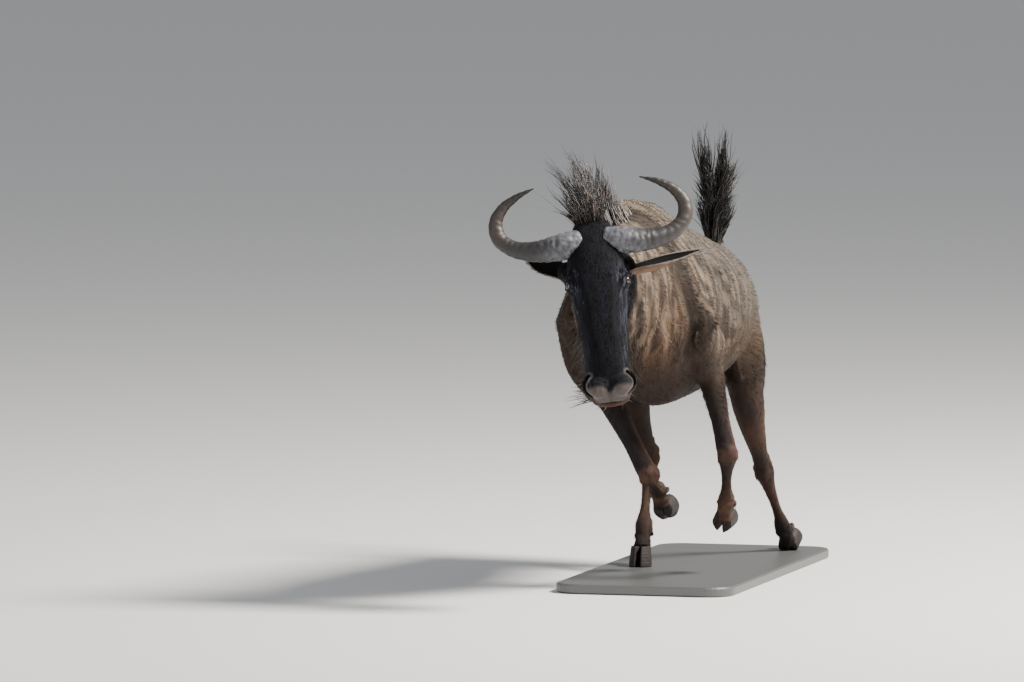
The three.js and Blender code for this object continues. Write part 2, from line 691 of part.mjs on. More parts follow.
function stand() {
  const { width, length, thick, corner, bevel } = BASE;
  const [x, y] = [width / 2 - bevel, length / 2 - bevel];
  const shape = new THREE.Shape();
  shape.moveTo(-x + corner, -y);
  shape.lineTo(x - corner, -y);
  shape.absarc(x - corner, -y + corner, corner, -Math.PI / 2, 0);
  shape.lineTo(x, y - corner);
  shape.absarc(x - corner, y - corner, corner, 0, Math.PI / 2);
  shape.lineTo(-x + corner, y);
  shape.absarc(-x + corner, y - corner, corner, Math.PI / 2, Math.PI);
  shape.lineTo(-x, -y + corner);
  shape.absarc(-x + corner, -y + corner, corner, Math.PI, Math.PI * 1.5);
  const slab = new THREE.ExtrudeGeometry(shape, {
    depth: thick - 2 * bevel,
    bevelSize: bevel,
    bevelThickness: bevel,
    bevelSegments: 1,
    curveSegments: 4,
  });
  const place = new THREE.Matrix4().makeTranslation(...BASE_CENTRE, bevel - thick);
  return solid(slab, place);
}

// Flesh: every form of the body in one solid, parted afterwards by thin walls.
const legs = {};
for (const [name, leg] of Object.entries(LEGS)) {
  legs[name] = leg.blade ? foreleg(leg) : hindleg(leg);
}
const flesh = join([
  trunk(),
  loft(NECK),
  loft(TAIL_DOCK),
  ...Object.values(legs).flatMap(({ upper, lower }) => [...upper, ...lower]),
]);

const direction = (from, to) => vec(to).sub(vec(from)).normalize().toArray();
const NECK_BASE = { at: [-15, -500, 900], normal: [0, -0.94, 0.34] };
const walls = [
  cutWall(NECK_BASE.at, NECK_BASE.normal, 700, 800),
  cutWall([-1, 522, 945], direction([-2, 480, 905], [0, 540, 960]), 130, 130),
];
for (const leg of Object.values(LEGS)) {
  const middle = leg.knee ?? leg.hock;
  const top = leg.elbow ?? leg.stifle;
  const breadth = leg.knee ? 230 : 320;
  walls.push(cutWall(mix(top, middle, leg.cut), direction(top, middle), breadth, breadth));
  walls.push(cutWall(mix(middle, leg.fetlock, 0.3), direction(middle, leg.fetlock), 90, 90));
}
const pieces = flesh.subtract(join(walls)).decompose();

// The piece of flesh whose surface box holds a point most snugly.
function pieceAt(point) {
  const holds = pieces.filter((piece) => {
    const probe = bulge(point, [2, 2, 2], [0, 0, 0], 6);
    return piece.intersect(probe).volume() > 0;
  });
  if (holds.length !== 1) throw new Error(`no single piece of flesh at ${point}`);
  return holds[0];
}

const root = new THREE.Group();
root.name = 'wildebeest';

function addNode(name, shape, finish) {
  const body = largest(shape).getMesh();
  const geometry = new THREE.BufferGeometry();
  geometry.setAttribute('position', new THREE.BufferAttribute(body.vertProperties, 3));
  geometry.setIndex(new THREE.BufferAttribute(body.triVerts, 1));
  const node = new THREE.Mesh(geometry, finish);
  node.name = name;
  root.add(node);
}

const finish = (color, roughness) => new THREE.MeshStandardMaterial({
  color, roughness, metalness: 0,
});
const HIDE = finish(0x6f675f, 0.8);
const DARK_HIDE = finish(0x25242b, 0.75);
const LEG_HIDE = finish(0x6b4632, 0.75);
const HAIR = finish(0x1f1f22, 0.7);
const HORN_FINISH = finish(0x5b5553, 0.55);
const HOOF_FINISH = finish(0x2b2c33, 0.45);
const EYE_FINISH = finish(0x20130b, 0.08);
const BASE_FINISH = finish(0x3a3733, 0.6);

// Room kept below every hoof, so that those on the base get a flat to stand on.
const ground = solid(
  new THREE.BoxGeometry(2000, 3000, 200),
  new THREE.Matrix4().makeTranslation(0, 0, GAP - 100),
);
const horns = { left: hornOf(1), right: hornOf(-1) };
const eyeball = (side, radius) => bulge(mirrored(EYE_AT, side), [radius, radius, radius]);

const headCuts = [
  ...Object.values(horns).map((horn) => loft(horn, GAP)),
  ...Object.values(EARS).map((each) => ear(each, 1.5 * GAP)),
  ...[-1, 1].map((side) => nostril(side, 0)),
  ...[-1, 1].map((side) => eyeball(side, EYE_RADIUS + GAP)),
  mouthGroove(),
].map(inHead);

const headRoom = inHead(join([
  headFlesh(GAP),
  ...headLocks(GAP),
  ...Object.values(horns).map((horn) => loft(horn, GAP)),
  ...Object.values(EARS).map((each) => ear(each, 1.5 * GAP)),
]));
// The hair of the neck stops short of the plane where the trunk begins.
const reach = 1500;
const trunkSide = solid(new THREE.BoxGeometry(reach, reach, reach), new THREE.Matrix4().compose(
  vec(NECK_BASE.at).addScaledVector(vec(NECK_BASE.normal), GAP / 2 - reach / 2),
  new THREE.Quaternion().setFromUnitVectors(new THREE.Vector3(0, 0, 1), vec(NECK_BASE.normal)
    .normalize()),
  new THREE.Vector3(1, 1, 1),
));
const neckHair = join([...maneLocks(), ...throatLocks()]).subtract(trunkSide);
const neckWhole = pieceAt([-16, -640, 950]).add(neckHair);

addNode('head', inHead(join([headFlesh(), ...headLocks()])).subtract(join(headCuts)), DARK_HIDE);
addNode('neck', neckWhole.subtract(headRoom), HIDE);
addNode('torso', pieceAt([0, 0, 820]), HIDE);
addNode('tail', join([pieceAt([-6, 580, 1045]), ...tuftLocks()]), HAIR);
for (const [name, leg] of Object.entries(LEGS)) {
  const middle = leg.knee ?? leg.hock;
  const top = leg.elbow ?? leg.stifle;
  const feet = [-1, 1].map((sign) => claw(leg.foot, sign).subtract(ground));
  addNode(`${name}_upper`, pieceAt(mix(top, middle, 0.6)), LEG_HIDE);
  addNode(`${name}_shank`, pieceAt(mix(middle, leg.fetlock, 0.7)).subtract(clawRoom(leg.foot)), LEG_HIDE);
  addNode(`${name}_claw_a`, feet[0], HOOF_FINISH);
  addNode(`${name}_claw_b`, feet[1], HOOF_FINISH);
}
for (const [side, sign] of [['left', 1], ['right', -1]]) {
  addNode(`horn_${side}`, inHead(loft(horns[side])), HORN_FINISH);
  addNode(`ear_${side}`, inHead(ear(EARS[side])), DARK_HIDE);
  addNode(`eye_${side}`, inHead(eyeball(sign, EYE_RADIUS)), EYE_FINISH);
}
addNode('stand_base', stand(), BASE_FINISH);

// The origin is the middle of the underside of the whole model's box.
const box = new THREE.Box3().setFromObject(root);
const middle = box.getCenter(new THREE.Vector3());
root.position.set(-middle.x, -middle.y, -box.min.z);

export default root;
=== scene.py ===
"""A blue wildebeest at full gallop, life size, on a display base."""

import math

import bmesh
import bpy
import numpy as np
from mathutils import Euler, Matrix, Vector


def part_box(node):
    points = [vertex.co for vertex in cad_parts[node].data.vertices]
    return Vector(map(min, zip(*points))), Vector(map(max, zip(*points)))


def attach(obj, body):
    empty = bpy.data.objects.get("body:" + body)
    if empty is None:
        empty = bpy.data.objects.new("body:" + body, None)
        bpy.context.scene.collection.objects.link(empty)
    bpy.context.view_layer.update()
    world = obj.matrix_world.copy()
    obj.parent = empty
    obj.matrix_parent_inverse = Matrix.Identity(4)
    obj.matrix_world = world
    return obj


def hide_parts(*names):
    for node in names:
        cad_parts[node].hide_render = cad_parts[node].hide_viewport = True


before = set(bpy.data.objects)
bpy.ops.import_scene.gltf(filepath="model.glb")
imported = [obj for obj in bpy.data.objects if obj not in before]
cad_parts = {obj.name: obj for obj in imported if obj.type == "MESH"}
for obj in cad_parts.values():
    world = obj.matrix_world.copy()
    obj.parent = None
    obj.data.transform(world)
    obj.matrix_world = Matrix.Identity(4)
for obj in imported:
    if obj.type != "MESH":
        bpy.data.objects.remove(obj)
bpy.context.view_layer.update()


# Flesh: the trunk, neck, head and legs of a lean adult bull, run into one skin.
# Each muscle mass is an oval section carried along a bone, as a sculptor builds
# clay on an armature, and the creases between them are pressed in afterwards.
base_low, base_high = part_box("stand_base")
BASE_MIDDLE = 0.030, 0.190      # of the stand's base, seen from the animal's origin
ORIGIN = Vector((
    (base_low.x + base_high.x) / 2 - BASE_MIDDLE[0],
    (base_low.y + base_high.y) / 2 - BASE_MIDDLE[1],
    base_high.z,
))
TRUNK_LEAN = math.radians(-8)
LEAN_HEIGHT = 0.870
HEAD_AT = Vector((-0.030, -0.850, 1.110))
HEAD_TURN = Euler((math.radians(-17), math.radians(-6.5), math.radians(15)), "XYZ")
HEAD_FRAME = Matrix.Translation(HEAD_AT) @ HEAD_TURN.to_matrix().to_4x4()
COAT = 0.002        # how far the skin lies inside the solids
VOXEL = 0.0052
soup = []           # closed parts of the flesh, as (vertices, faces)


def unit(v):
    v = np.asarray(v, float)
    return v / np.maximum(np.linalg.norm(v, axis=-1, keepdims=True), 1e-12)


def placed(points, matrix):
    matrix = np.array(matrix)
    return points @ matrix[:3, :3].T + matrix[:3, 3]


def smooth_rows(rows, t):
    """Smooth sizes at each t of rows [t, size, size...]."""
    rows = np.array(rows, float)
    t = np.clip(np.atleast_1d(t), rows[0, 0], rows[-1, 0])
    slopes = np.gradient(rows[:, 1:], rows[:, 0], axis=0)
    i = np.clip(np.searchsorted(rows[:, 0], t) - 1, 0, len(rows) - 2)
    span = (rows[i + 1, 0] - rows[i, 0])[:, None]
    f = ((t - rows[i, 0]) / span[:, 0])[:, None]
    low, high = rows[i, 1:], rows[i + 1, 1:]
    return ((2 * f**3 - 3 * f**2 + 1) * low + (f**3 - 2 * f**2 + f) * span * slopes[i]
            + (3 * f**2 - 2 * f**3) * high + (f**3 - f**2) * span * slopes[i + 1])


def curve_points(path, count):
    """Evenly spaced points and directions along a smooth curve through a path."""
    path = np.array(path, float)
    keys = np.concatenate([[0], np.cumsum(np.linalg.norm(np.diff(path, axis=0), axis=1))])
    rows = np.column_stack([keys, path])
    fine = smooth_rows(rows, np.linspace(0, keys[-1], 40 * len(path)))
    length = np.concatenate([[0], np.cumsum(np.linalg.norm(np.diff(fine, axis=0), axis=1))])
    want = np.linspace(0, length[-1], count)
    points = np.column_stack([np.interp(want, length, fine[:, k]) for k in range(3)])
    return points, unit(np.gradient(points, axis=0))


def sections(path, rows, front, count):
    """Centres, front and side directions and sizes [wide, fore, hind] in mm rows."""
    centre, axis = curve_points(path, count)
    fore = np.asarray(front, float) - axis * (axis @ np.asarray(front, float))[:, None]
    fore = unit(fore)
    sizes = smooth_rows(rows, np.linspace(0, 1, count)) / 1000
    return centre, axis, fore, np.cross(axis, fore), sizes


def ring_faces(rings, sides):
    """Faces over rings of points, with a fan at each end round its middle."""
    faces = []
    for i in range(rings - 1):
        for k in range(sides):
            a, b = i * sides + k, i * sides + (k + 1) % sides
            faces.append((a, b, b + sides, a + sides))
    first, last = rings * sides, rings * sides + 1
    for k in range(sides):
        b = (k + 1) % sides
        faces.append((first, b, k))
        faces.append((last, (rings - 1) * sides + k, (rings - 1) * sides + b))
    return faces


def closed_rings(rings):
    """Vertices and faces of a closed skin over an array of rings."""
    count, sides = rings.shape[:2]
    ends = [rings[0].mean(0), rings[-1].mean(0)]
    return np.vstack([rings.reshape(-1, 3), ends]), ring_faces(count, sides)


def flesh(path, rows, front, sides=24, count=24, power=1.0, rounding=0.6, place=None, grow=-COAT):
    """One mass of flesh: an oval section along a path, with rounded ends."""
    centre, axis, fore, side, size = sections(path, rows, front, count)
    size = size + grow
    ends = []
    for i, sign in ((0, -1), (-1, 1)):
        reach = rounding * min(size[i, 0], size[i, 1] + size[i, 2])
        for step in (0.35, 0.65, 0.88, 0.99):
            scale = math.sqrt(1 - step * step)
            ends.append((i, scale, sign * reach * step))
    angle = np.arange(sides) / sides * math.tau
    c, s = np.cos(angle), np.sin(angle)
    c, s = np.sign(c) * np.abs(c) ** power, np.sign(s) * np.abs(s) ** power

    def ring(i, scale=1.0, shift=0.0):
        deep = np.where(c > 0, size[i, 1], size[i, 2]) * c * scale
        return (centre[i] + axis[i] * shift + deep[:, None] * fore[i]
                + (size[i, 0] * s * scale)[:, None] * side[i])

    rings = [ring(i, scale, shift) for i, scale, shift in reversed(ends[:4])]
    rings += [ring(i) for i in range(count)]
    rings += [ring(i, scale, shift) for i, scale, shift in ends[4:]]
    points, faces = closed_rings(np.array(rings))
    soup.append((placed(points, place or Matrix()), faces))


def mound(at, half, turn=(0, 0, 0), place=None, detail=24):
    """A rounded swelling: an ellipsoid with half sizes in metres."""
    lat = (np.arange(1, detail // 2) / (detail // 2) - 0.5) * math.pi
    lon = np.arange(detail) / detail * math.tau
    x = np.cos(lat)[:, None] * np.cos(lon)
    y = np.cos(lat)[:, None] * np.sin(lon)
    z = np.repeat(np.sin(lat)[:, None], detail, 1)
    rings = np.stack([x, y, z], -1)
    points, faces = closed_rings(rings)
    points[-2:] = [[0, 0, -1], [0, 0, 1]]
    matrix = Matrix.Translation(at) @ Euler(np.radians(turn)).to_matrix().to_4x4()
    matrix = (place or Matrix()) @ matrix
    soup.append((placed(points * (np.array(half) - COAT), matrix), faces))


def globe(first, count):
    """Rings of points over a ball of radius 1, and their angles from its pole."""
    lat, lon = np.linspace(first, math.pi - first, count), np.arange(count) / count * math.tau
    return lat, np.stack([np.outer(np.sin(lat), np.cos(lon)), np.outer(np.sin(lat), np.sin(lon)),
                          np.repeat(np.cos(lat)[:, None], count, 1)], -1)


# Rows are [y, middle height, half width, rise, drop, ridge, keel].
TRUNK_ROWS = [
    [-625, 800, 70, 70, 80, 0.1, 0.1], [-600, 800, 104, 142, 126, 0.1, 0.1],
    [-540, 815, 160, 238, 192, 0.15, 0.1], [-460, 840, 205, 322, 262, 0.3, 0.2],
    [-380, 845, 215, 335, 302, 0.35, 0.25], [-250, 840, 228, 303, 306, 0.3, 0.25],
    [-100, 825, 243, 275, 285, 0.25, 0.15], [60, 812, 246, 250, 258, 0.22, 0.1],
    [180, 810, 228, 225, 232, 0.2, 0.1], [290, 815, 190, 196, 190, 0.15, 0.1],
    [390, 820, 158, 166, 150, 0.1, 0.1], [470, 830, 122, 128, 120, 0.1, 0.1],
    [525, 835, 76, 82, 85, 0, 0], [548, 838, 34, 40, 40, 0, 0],
]


def lean(points):
    """Points of the upright trunk, leaned to the animal's right."""
    c, s = math.cos(TRUNK_LEAN), math.sin(TRUNK_LEAN)
    x, z = points[..., 0], points[..., 2] - LEAN_HEIGHT
    return np.stack([x * c + z * s, points[..., 1], LEAN_HEIGHT - x * s + z * c], -1)


def trunk():
    angle = np.arange(48) / 48 * math.tau
    c, s = np.cos(angle), np.sin(angle)
    y = np.interp(np.linspace(0, 1, 60), [0, 1], [TRUNK_ROWS[0][0], TRUNK_ROWS[-1][0]])
    sizes = smooth_rows(TRUNK_ROWS, y) / 1000
    rings = []
    for i, at in enumerate(y / 1000):
        middle, wide, rise, drop = sizes[i, :4] - (0, COAT, COAT, COAT)
        ridge, keel = sizes[i, 4:] * 1000
        pinch = 1 - np.where(s > 0, ridge, keel) * s * s
        rings.append(np.stack([wide * c * pinch, np.full(48, at),
                               middle + s * np.where(s > 0, rise, drop)], -1))
    points, faces = closed_rings(np.array(rings))
    soup.append((lean(points), faces))


def head_point(x, y, z):
    return list(HEAD_FRAME @ Vector((x, y, z)))


NECK_PATH = [[-0.008, -0.360, 0.885], [-0.016, -0.560, 0.925], [-0.024, -0.700, 0.972],
             head_point(0, 0.070, -0.095)]
NECK_ROWS = [[0, 180, 288, 290], [0.3, 172, 254, 262], [0.5, 148, 210, 230],
             [0.75, 110, 150, 180], [1, 88, 92, 138]]
NECK_FRONT = (-0.05, 0, 1)
FORE = {
    "left": dict(side=1, shoulder=(0.186, -0.438, 0.800), blade=(0.090, -0.330, 1.045),
                 elbow=(0.178, -0.228, 0.655), knee=(0.249, -0.270, 0.392),
                 fetlock=(0.203, -0.104, 0.222), foot=(0.190, -0.088, 0.172),
                 toe=(-0.28, 0.42, -0.86), sole=(0.1, 0.88, 0.4)),
    "right": dict(side=-1, shoulder=(-0.182, -0.446, 0.790), blade=(-0.138, -0.330, 1.030),
                  elbow=(-0.146, -0.262, 0.588), knee=(0.007, -0.300, 0.324),
                  fetlock=(-0.014, -0.092, 0.252), foot=(-0.008, -0.074, 0.208),
                  toe=(0.28, 0.25, -0.92), sole=(0.02, 0.96, 0.26)),
}
HIND = {
    "left": dict(side=1, hip=(0.112, 0.372, 0.800), stifle=(0.165, 0.292, 0.530),
                 hock=(0.170, 0.515, 0.276), fetlock=(0.195, 0.690, 0.066),
                 foot=(0.198, 0.722, 0.025), toe=(0.05, 0.62, -0.78), sole=(0, 0.78, 0.62)),
    "right": dict(side=-1, hip=(-0.128, 0.362, 0.790), stifle=(-0.168, 0.140, 0.590),
                  hock=(-0.150, 0.335, 0.330), fetlock=(-0.124, 0.148, 0.108),
                  foot=(-0.121, 0.118, 0.0563), toe=(0, -1, 0), sole=(0, 0, -1)),
}


LEGS = [*FORE.values(), *HIND.values()]


def middle_joint(leg):
    return leg.get("knee", leg.get("hock"))


def mix(a, b, t):
    return np.array(a) + (np.array(b) - np.array(a)) * t


def foot_axes(leg):
    toe = unit(leg["toe"])
    sole = np.array(leg["sole"], float)
    sole = unit(sole - toe * (sole @ toe))
    return toe, sole, unit(np.cross(sole, toe))


def pastern(leg, front):
    flesh([leg["fetlock"], leg["foot"]], [[0, 28, 26, 30], [0.5, 26, 24, 26], [1, 30, 28, 27]],
          front, rounding=0.2, count=10)


def foreleg(leg):
    ahead = (0, -1, -0.1)
    blade, shoulder, elbow, knee = (leg[k] for k in ("blade", "shoulder", "elbow", "knee"))
    fetlock = leg["fetlock"]
    flesh([blade, mix(blade, shoulder, 0.5), shoulder],
          [[0, 30, 66, 86], [0.5, 50, 92, 105], [1, 62, 70, 92]], ahead)
    flesh([shoulder, elbow], [[0, 62, 78, 70], [0.5, 64, 78, 92], [1, 50, 60, 66]],
          (0, -0.5, 0.85), count=14)
    flesh([mix(elbow, knee, -0.3), elbow, mix(elbow, knee, 0.5), knee],
          [[0, 50, 66, 62], [0.23, 45, 58, 62], [0.5, 36, 44, 46], [0.75, 31, 33, 33],
           [0.92, 34, 34, 30], [1, 35, 34, 28]], ahead, count=30)
    shin = np.array(fetlock) - np.array(knee)
    face = unit((0, shin[2], -shin[1]))
    mound(mix(knee, fetlock, 0.02), (0.037, 0.036, 0.039))
    flesh([mix(knee, fetlock, 0.05), fetlock],
          [[0, 34, 30, 34], [0.18, 26, 25, 29], [0.4, 19, 21, 23], [0.7, 19, 20, 22],
           [0.9, 27, 26, 30], [1, 29, 27, 31]], face)
    pastern(leg, -np.array(leg["sole"]))


def hindleg(leg):
    ahead = (0, -1, 0.2)
    hip, stifle, hock, fetlock = (leg[k] for k in ("hip", "stifle", "hock", "fetlock"))
    flesh([mix(hip, stifle, -0.25), mix(hip, stifle, 0.45), mix(hip, stifle, 0.85)],
          [[0, 60, 120, 120], [0.45, 74, 140, 130], [0.8, 70, 105, 118], [1, 60, 74, 92]], ahead)
    flesh([mix(hip, stifle, 0.8), mix(stifle, hock, 0.3), hock],
          [[0, 58, 70, 92], [0.3, 50, 58, 76], [0.6, 36, 39, 46], [0.85, 28, 29, 36],
           [1, 32, 30, 42]], ahead, count=30)
    seat = (leg["side"] * 0.085, 0.485, 0.790)
    flesh([seat, mix(hip, stifle, 0.45) + (0, 0.110, -0.010),
           mix(stifle, hock, 0.22) + (0, 0.035, 0)],
          [[0, 46, 48, 48], [0.45, 52, 50, 52], [0.8, 42, 42, 42], [1, 30, 30, 30]], ahead)
    heel = mix(hock, stifle, 0.1) + (0, 0.036, 0.022)
    mound(mix(hock, fetlock, 0.03), (0.033, 0.037, 0.041))
    flesh([heel, mix(hock, fetlock, 0.35)], [[0, 16, 13, 14], [0.4, 21, 28, 21], [1, 17, 19, 19]],
          ahead)
    flesh([mix(hock, fetlock, 0.04), fetlock],
          [[0, 33, 32, 36], [0.2, 24, 27, 30], [0.45, 18, 21, 23], [0.72, 18, 20, 22],
           [0.92, 28, 27, 30], [1, 29, 28, 31]], ahead)
    front = (0, -1, 0) if leg["sole"][2] < -0.5 else -np.array(leg["sole"])
    pastern(leg, front)


EYE_AT = np.array((0.078, -0.020, -0.172))
EYE_LOOK = unit((0.9, -0.42, 0.05))
EYE_RADIUS = 0.0195
HEAD_ROWS = [
    [0, 50, 20, 70], [0.08, 76, 46, 105], [0.19, 86, 64, 122], [0.31, 90, 73, 128],
    [0.41, 84, 76, 124], [0.51, 76, 76, 108], [0.64, 72, 75, 80], [0.76, 69, 71, 60],
    [0.87, 71, 63, 50], [0.95, 69, 52, 44], [1, 58, 36, 32],
]


def side_of(point, side):
    return np.array(point) * (side, 1, 1)


def eye_axes(side):
    """The eye's look, up and forward directions in the head frame."""
    look = side_of(EYE_LOOK, side)
    up = np.array((0, -0.25, 1.0))
    up = unit(up - look * (up @ look))
    return look, up, unit(np.cross(up, look) * side)


def lid_path(side, lift, reach=0.98, out=0.66, count=9):
    look, up, ahead = eye_axes(side)
    angle = np.linspace(0, math.pi, count)
    arc = np.sin(angle)
    return (side_of(EYE_AT, side) + np.outer(EYE_RADIUS * (out + 0.2 * arc), look)
            + np.outer(np.cos(angle) * EYE_RADIUS * reach, ahead)
            + np.outer(arc * EYE_RADIUS * lift, up))


NOSTRIL_PATH, _ = curve_points([(0.061, -0.046, -0.460), (0.070, -0.039, -0.478),
                                (0.068, -0.039, -0.501), (0.053, -0.044, -0.521)], 14)


def head():
    flesh([(0, 0, 0.025), (0, 0, -0.530)], HEAD_ROWS, (0, -1, 0), sides=48, count=60,
          power=0.85, rounding=0.3, place=HEAD_FRAME)
    for side in (-1, 1):
        mound((side * 0.066, -0.014, -0.172), (0.032, 0.044, 0.040), place=HEAD_FRAME)
        mound((side * 0.070, -0.030, -0.142), (0.026, 0.026, 0.016), (0, side * 12, 0), HEAD_FRAME)
        mound((side * 0.060, 0.062, -0.205), (0.027, 0.062, 0.078), (16, 0, 0), HEAD_FRAME)
        mound((side * 0.034, -0.044, -0.492), (0.038, 0.024, 0.034), place=HEAD_FRAME)
        mound((side * 0.088, 0.074, -0.104), (0.034, 0.036, 0.034), place=HEAD_FRAME)
        _, up, _ = eye_axes(side)
        for lift, thick in ((0.66, 7.0), (-0.56, 5.5)):
            flesh(lid_path(side, lift), [[0, 4, 4, 4], [0.5, thick, thick, thick], [1, 4, 4, 4]],
                  up, sides=12, place=HEAD_FRAME, grow=0)
        flesh(NOSTRIL_PATH * (side, 1, 1),
              [[0, 10, 10, 10], [0.3, 14, 13, 14], [0.65, 11, 12, 11], [1, 7, 7, 7]],
              (side, -0.6, 0), sides=16, place=HEAD_FRAME, grow=0)
    mound((0, 0.034, -0.505), (0.044, 0.028, 0.030), place=HEAD_FRAME)


TAIL_PATH = [[-0.002, 0.480, 0.905], [0, 0.540, 0.960], [-0.006, 0.580, 1.045],
             [-0.018, 0.596, 1.130]]
TAIL_ROWS = [[0, 40, 36, 36], [0.3, 30, 26, 26], [0.7, 20, 18, 18], [1, 13, 12, 12]]
TAIL_FRONT = (0, 1, 0.4)

trunk()
flesh(NECK_PATH, NECK_ROWS, NECK_FRONT, sides=40, count=40)
for leg in FORE.values():
    foreleg(leg)
for leg in HIND.values():
    hindleg(leg)
flesh(TAIL_PATH, TAIL_ROWS, TAIL_FRONT)
head()


def mesh_object(name, points, faces, smooth=True):
    mesh = bpy.data.meshes.new(name)
    mesh.from_pydata([tuple(p) for p in points], [], faces)
    mesh.validate()
    mesh.update()
    if smooth:
        mesh.shade_smooth()
    obj = bpy.data.objects.new(name, mesh)
    bpy.context.scene.collection.objects.link(obj)
    return obj


def settle(obj):
    """Applies every modifier, so that a plain mesh is left."""
    done = bpy.data.meshes.new_from_object(obj.evaluated_get(bpy.context.evaluated_depsgraph_get()))
    obj.modifiers.clear()
    obj.data = done


def vertex_data(mesh, key):
    flat = np.empty(len(mesh.vertices) * 3, np.float32)
    mesh.vertices.foreach_get(key, flat)
    return flat.reshape(-1, 3).astype(float)


def set_coordinates(mesh, points):
    mesh.vertices.foreach_set("co", points.astype(np.float32).ravel())
    mesh.update()


def face_outward(obj):
    bm = bmesh.new()
    bm.from_mesh(obj.data)
    bmesh.ops.recalc_face_normals(bm, faces=bm.faces)
    bm.to_mesh(obj.data)
    bm.free()


shift = np.array(ORIGIN)
points, faces, start = [], [], 0
for part_points, part_faces in soup:
    points.append(part_points + shift)
    faces += [tuple(i + start for i in face) for face in part_faces]
    start += len(part_points)
skin = mesh_object("skin", np.vstack(points), faces)
face_outward(skin)
remesh = skin.modifiers.new("remesh", "REMESH")
remesh.mode = "VOXEL"
remesh.voxel_size = VOXEL
relax = skin.modifiers.new("relax", "SMOOTH")
relax.factor = 0.5
relax.iterations = 7
settle(skin)


def refine(obj, chosen):
    """Splits the faces whose middles are chosen, for finer detail there."""
    bm = bmesh.new()
    bm.from_mesh(obj.data)
    middles = np.array([f.calc_center_median()[:] for f in bm.faces]) - shift
    bm.faces.ensure_lookup_table()
    edges = {e for i in np.flatnonzero(chosen(middles)) for e in bm.faces[i].edges}
    bmesh.ops.subdivide_edges(bm, edges=list(edges), cuts=1, use_grid_fill=True)
    bm.to_mesh(obj.data)
    bm.free()
    obj.data.shade_smooth()


def path_distance(p, path):
    """Distance from each point to a line of short straight runs, and how far along."""
    path = np.array(path, float)
    best = np.full(len(p), 9.0)
    along = np.zeros(len(p))
    for i in range(len(path) - 1):
        run = path[i + 1] - path[i]
        t = np.clip((p - path[i]) @ run / (run @ run), 0, 1)
        d = np.linalg.norm(p - path[i] - t[:, None] * run, axis=1)
        closer = d < best
        best[closer] = d[closer]
        along[closer] = (i + t[closer]) / (len(path) - 1)
    return best, along


HEAD_BACK = np.array(HEAD_FRAME.inverted())


def in_head(points):
    """Points, in the animal's frame, as the head frame sees them."""
    return placed(points, HEAD_BACK)


def ease(value, low, high):
    f = np.clip((value - low) / (high - low), 0, 1)
    return f * f * (3 - 2 * f)


def eye_distance(h):
    return np.min([np.linalg.norm(h - side_of(EYE_AT, s), axis=1) for s in (-1, 1)], axis=0)


def head_zone(p):
    h = in_head(p)
    return (np.abs(h[:, 0]) < 0.13) & (np.abs(h[:, 1] - 0.02) < 0.13) & (
        h[:, 2] < -0.06) & (h[:, 2] > -0.60)


def detail_zone(p):
    h = in_head(p)
    eyes = eye_distance(h)
    muzzle = (h[:, 2] < -0.40) & (h[:, 2] > -0.60) & (np.abs(h[:, 0]) < 0.12) & (
        np.abs(h[:, 1]) < 0.11)
    return (eyes < 0.048) | muzzle


MOUTH_LINE = [(0.0, -0.022, -0.542), (0.030, -0.018, -0.536), (0.054, -0.006, -0.514),
              (0.066, 0.010, -0.478), (0.068, 0.022, -0.435), (0.062, 0.032, -0.385)]
# Lines pressed into or raised from the head: (path, width, height) in metres.
HEAD_LINES = [
    (MOUTH_LINE, 0.0036, -0.0075),
    ([(0.0, -0.006, -0.546), (0.034, 0.002, -0.534), (0.060, 0.018, -0.492)], 0.007, 0.0040),
    ([(0.014, -0.046, -0.530), (0.040, -0.042, -0.520)], 0.012, 0.0050),
    ([(0.082, 0.012, -0.200), (0.078, 0.004, -0.260), (0.070, -0.004, -0.330)], 0.010, 0.0045),
    ([(0.076, -0.034, -0.196), (0.066, -0.034, -0.230)], 0.010, -0.0055),
    ([(0.072, 0.030, -0.300), (0.066, 0.040, -0.360), (0.062, 0.030, -0.400)], 0.014, -0.0050),
    ([(0.082, 0.046, -0.130), (0.086, 0.060, -0.190), (0.078, 0.085, -0.260),
      (0.066, 0.075, -0.320)], 0.008, -0.0035),
    ([(0.044, -0.062, -0.160), (0.036, -0.074, -0.260), (0.032, -0.072, -0.360)], 0.012, 0.0025),
    ([(0.056, -0.040, -0.300), (0.054, -0.036, -0.380)], 0.014, -0.0030),
    ([(0.088, -0.004, -0.150), (0.094, 0.012, -0.172), (0.088, 0.014, -0.198)], 0.0028, -0.0022),
    ([(0.086, 0.002, -0.146), (0.093, 0.020, -0.170), (0.086, 0.022, -0.204)], 0.0030, -0.0018),
    ([(0.066, -0.052, -0.150), (0.074, -0.046, -0.132), (0.086, -0.030, -0.122)], 0.003, -0.0022),
    ([(0.000, -0.056, -0.505), (0.000, -0.030, -0.545)], 0.0048, -0.0080),
    ([(0.012, -0.062, -0.488), (0.036, -0.060, -0.478)], 0.004, -0.0025),
    ([(0.084, -0.010, -0.448), (0.088, -0.004, -0.470), (0.082, 0.000, -0.495)], 0.004, -0.0025),
]
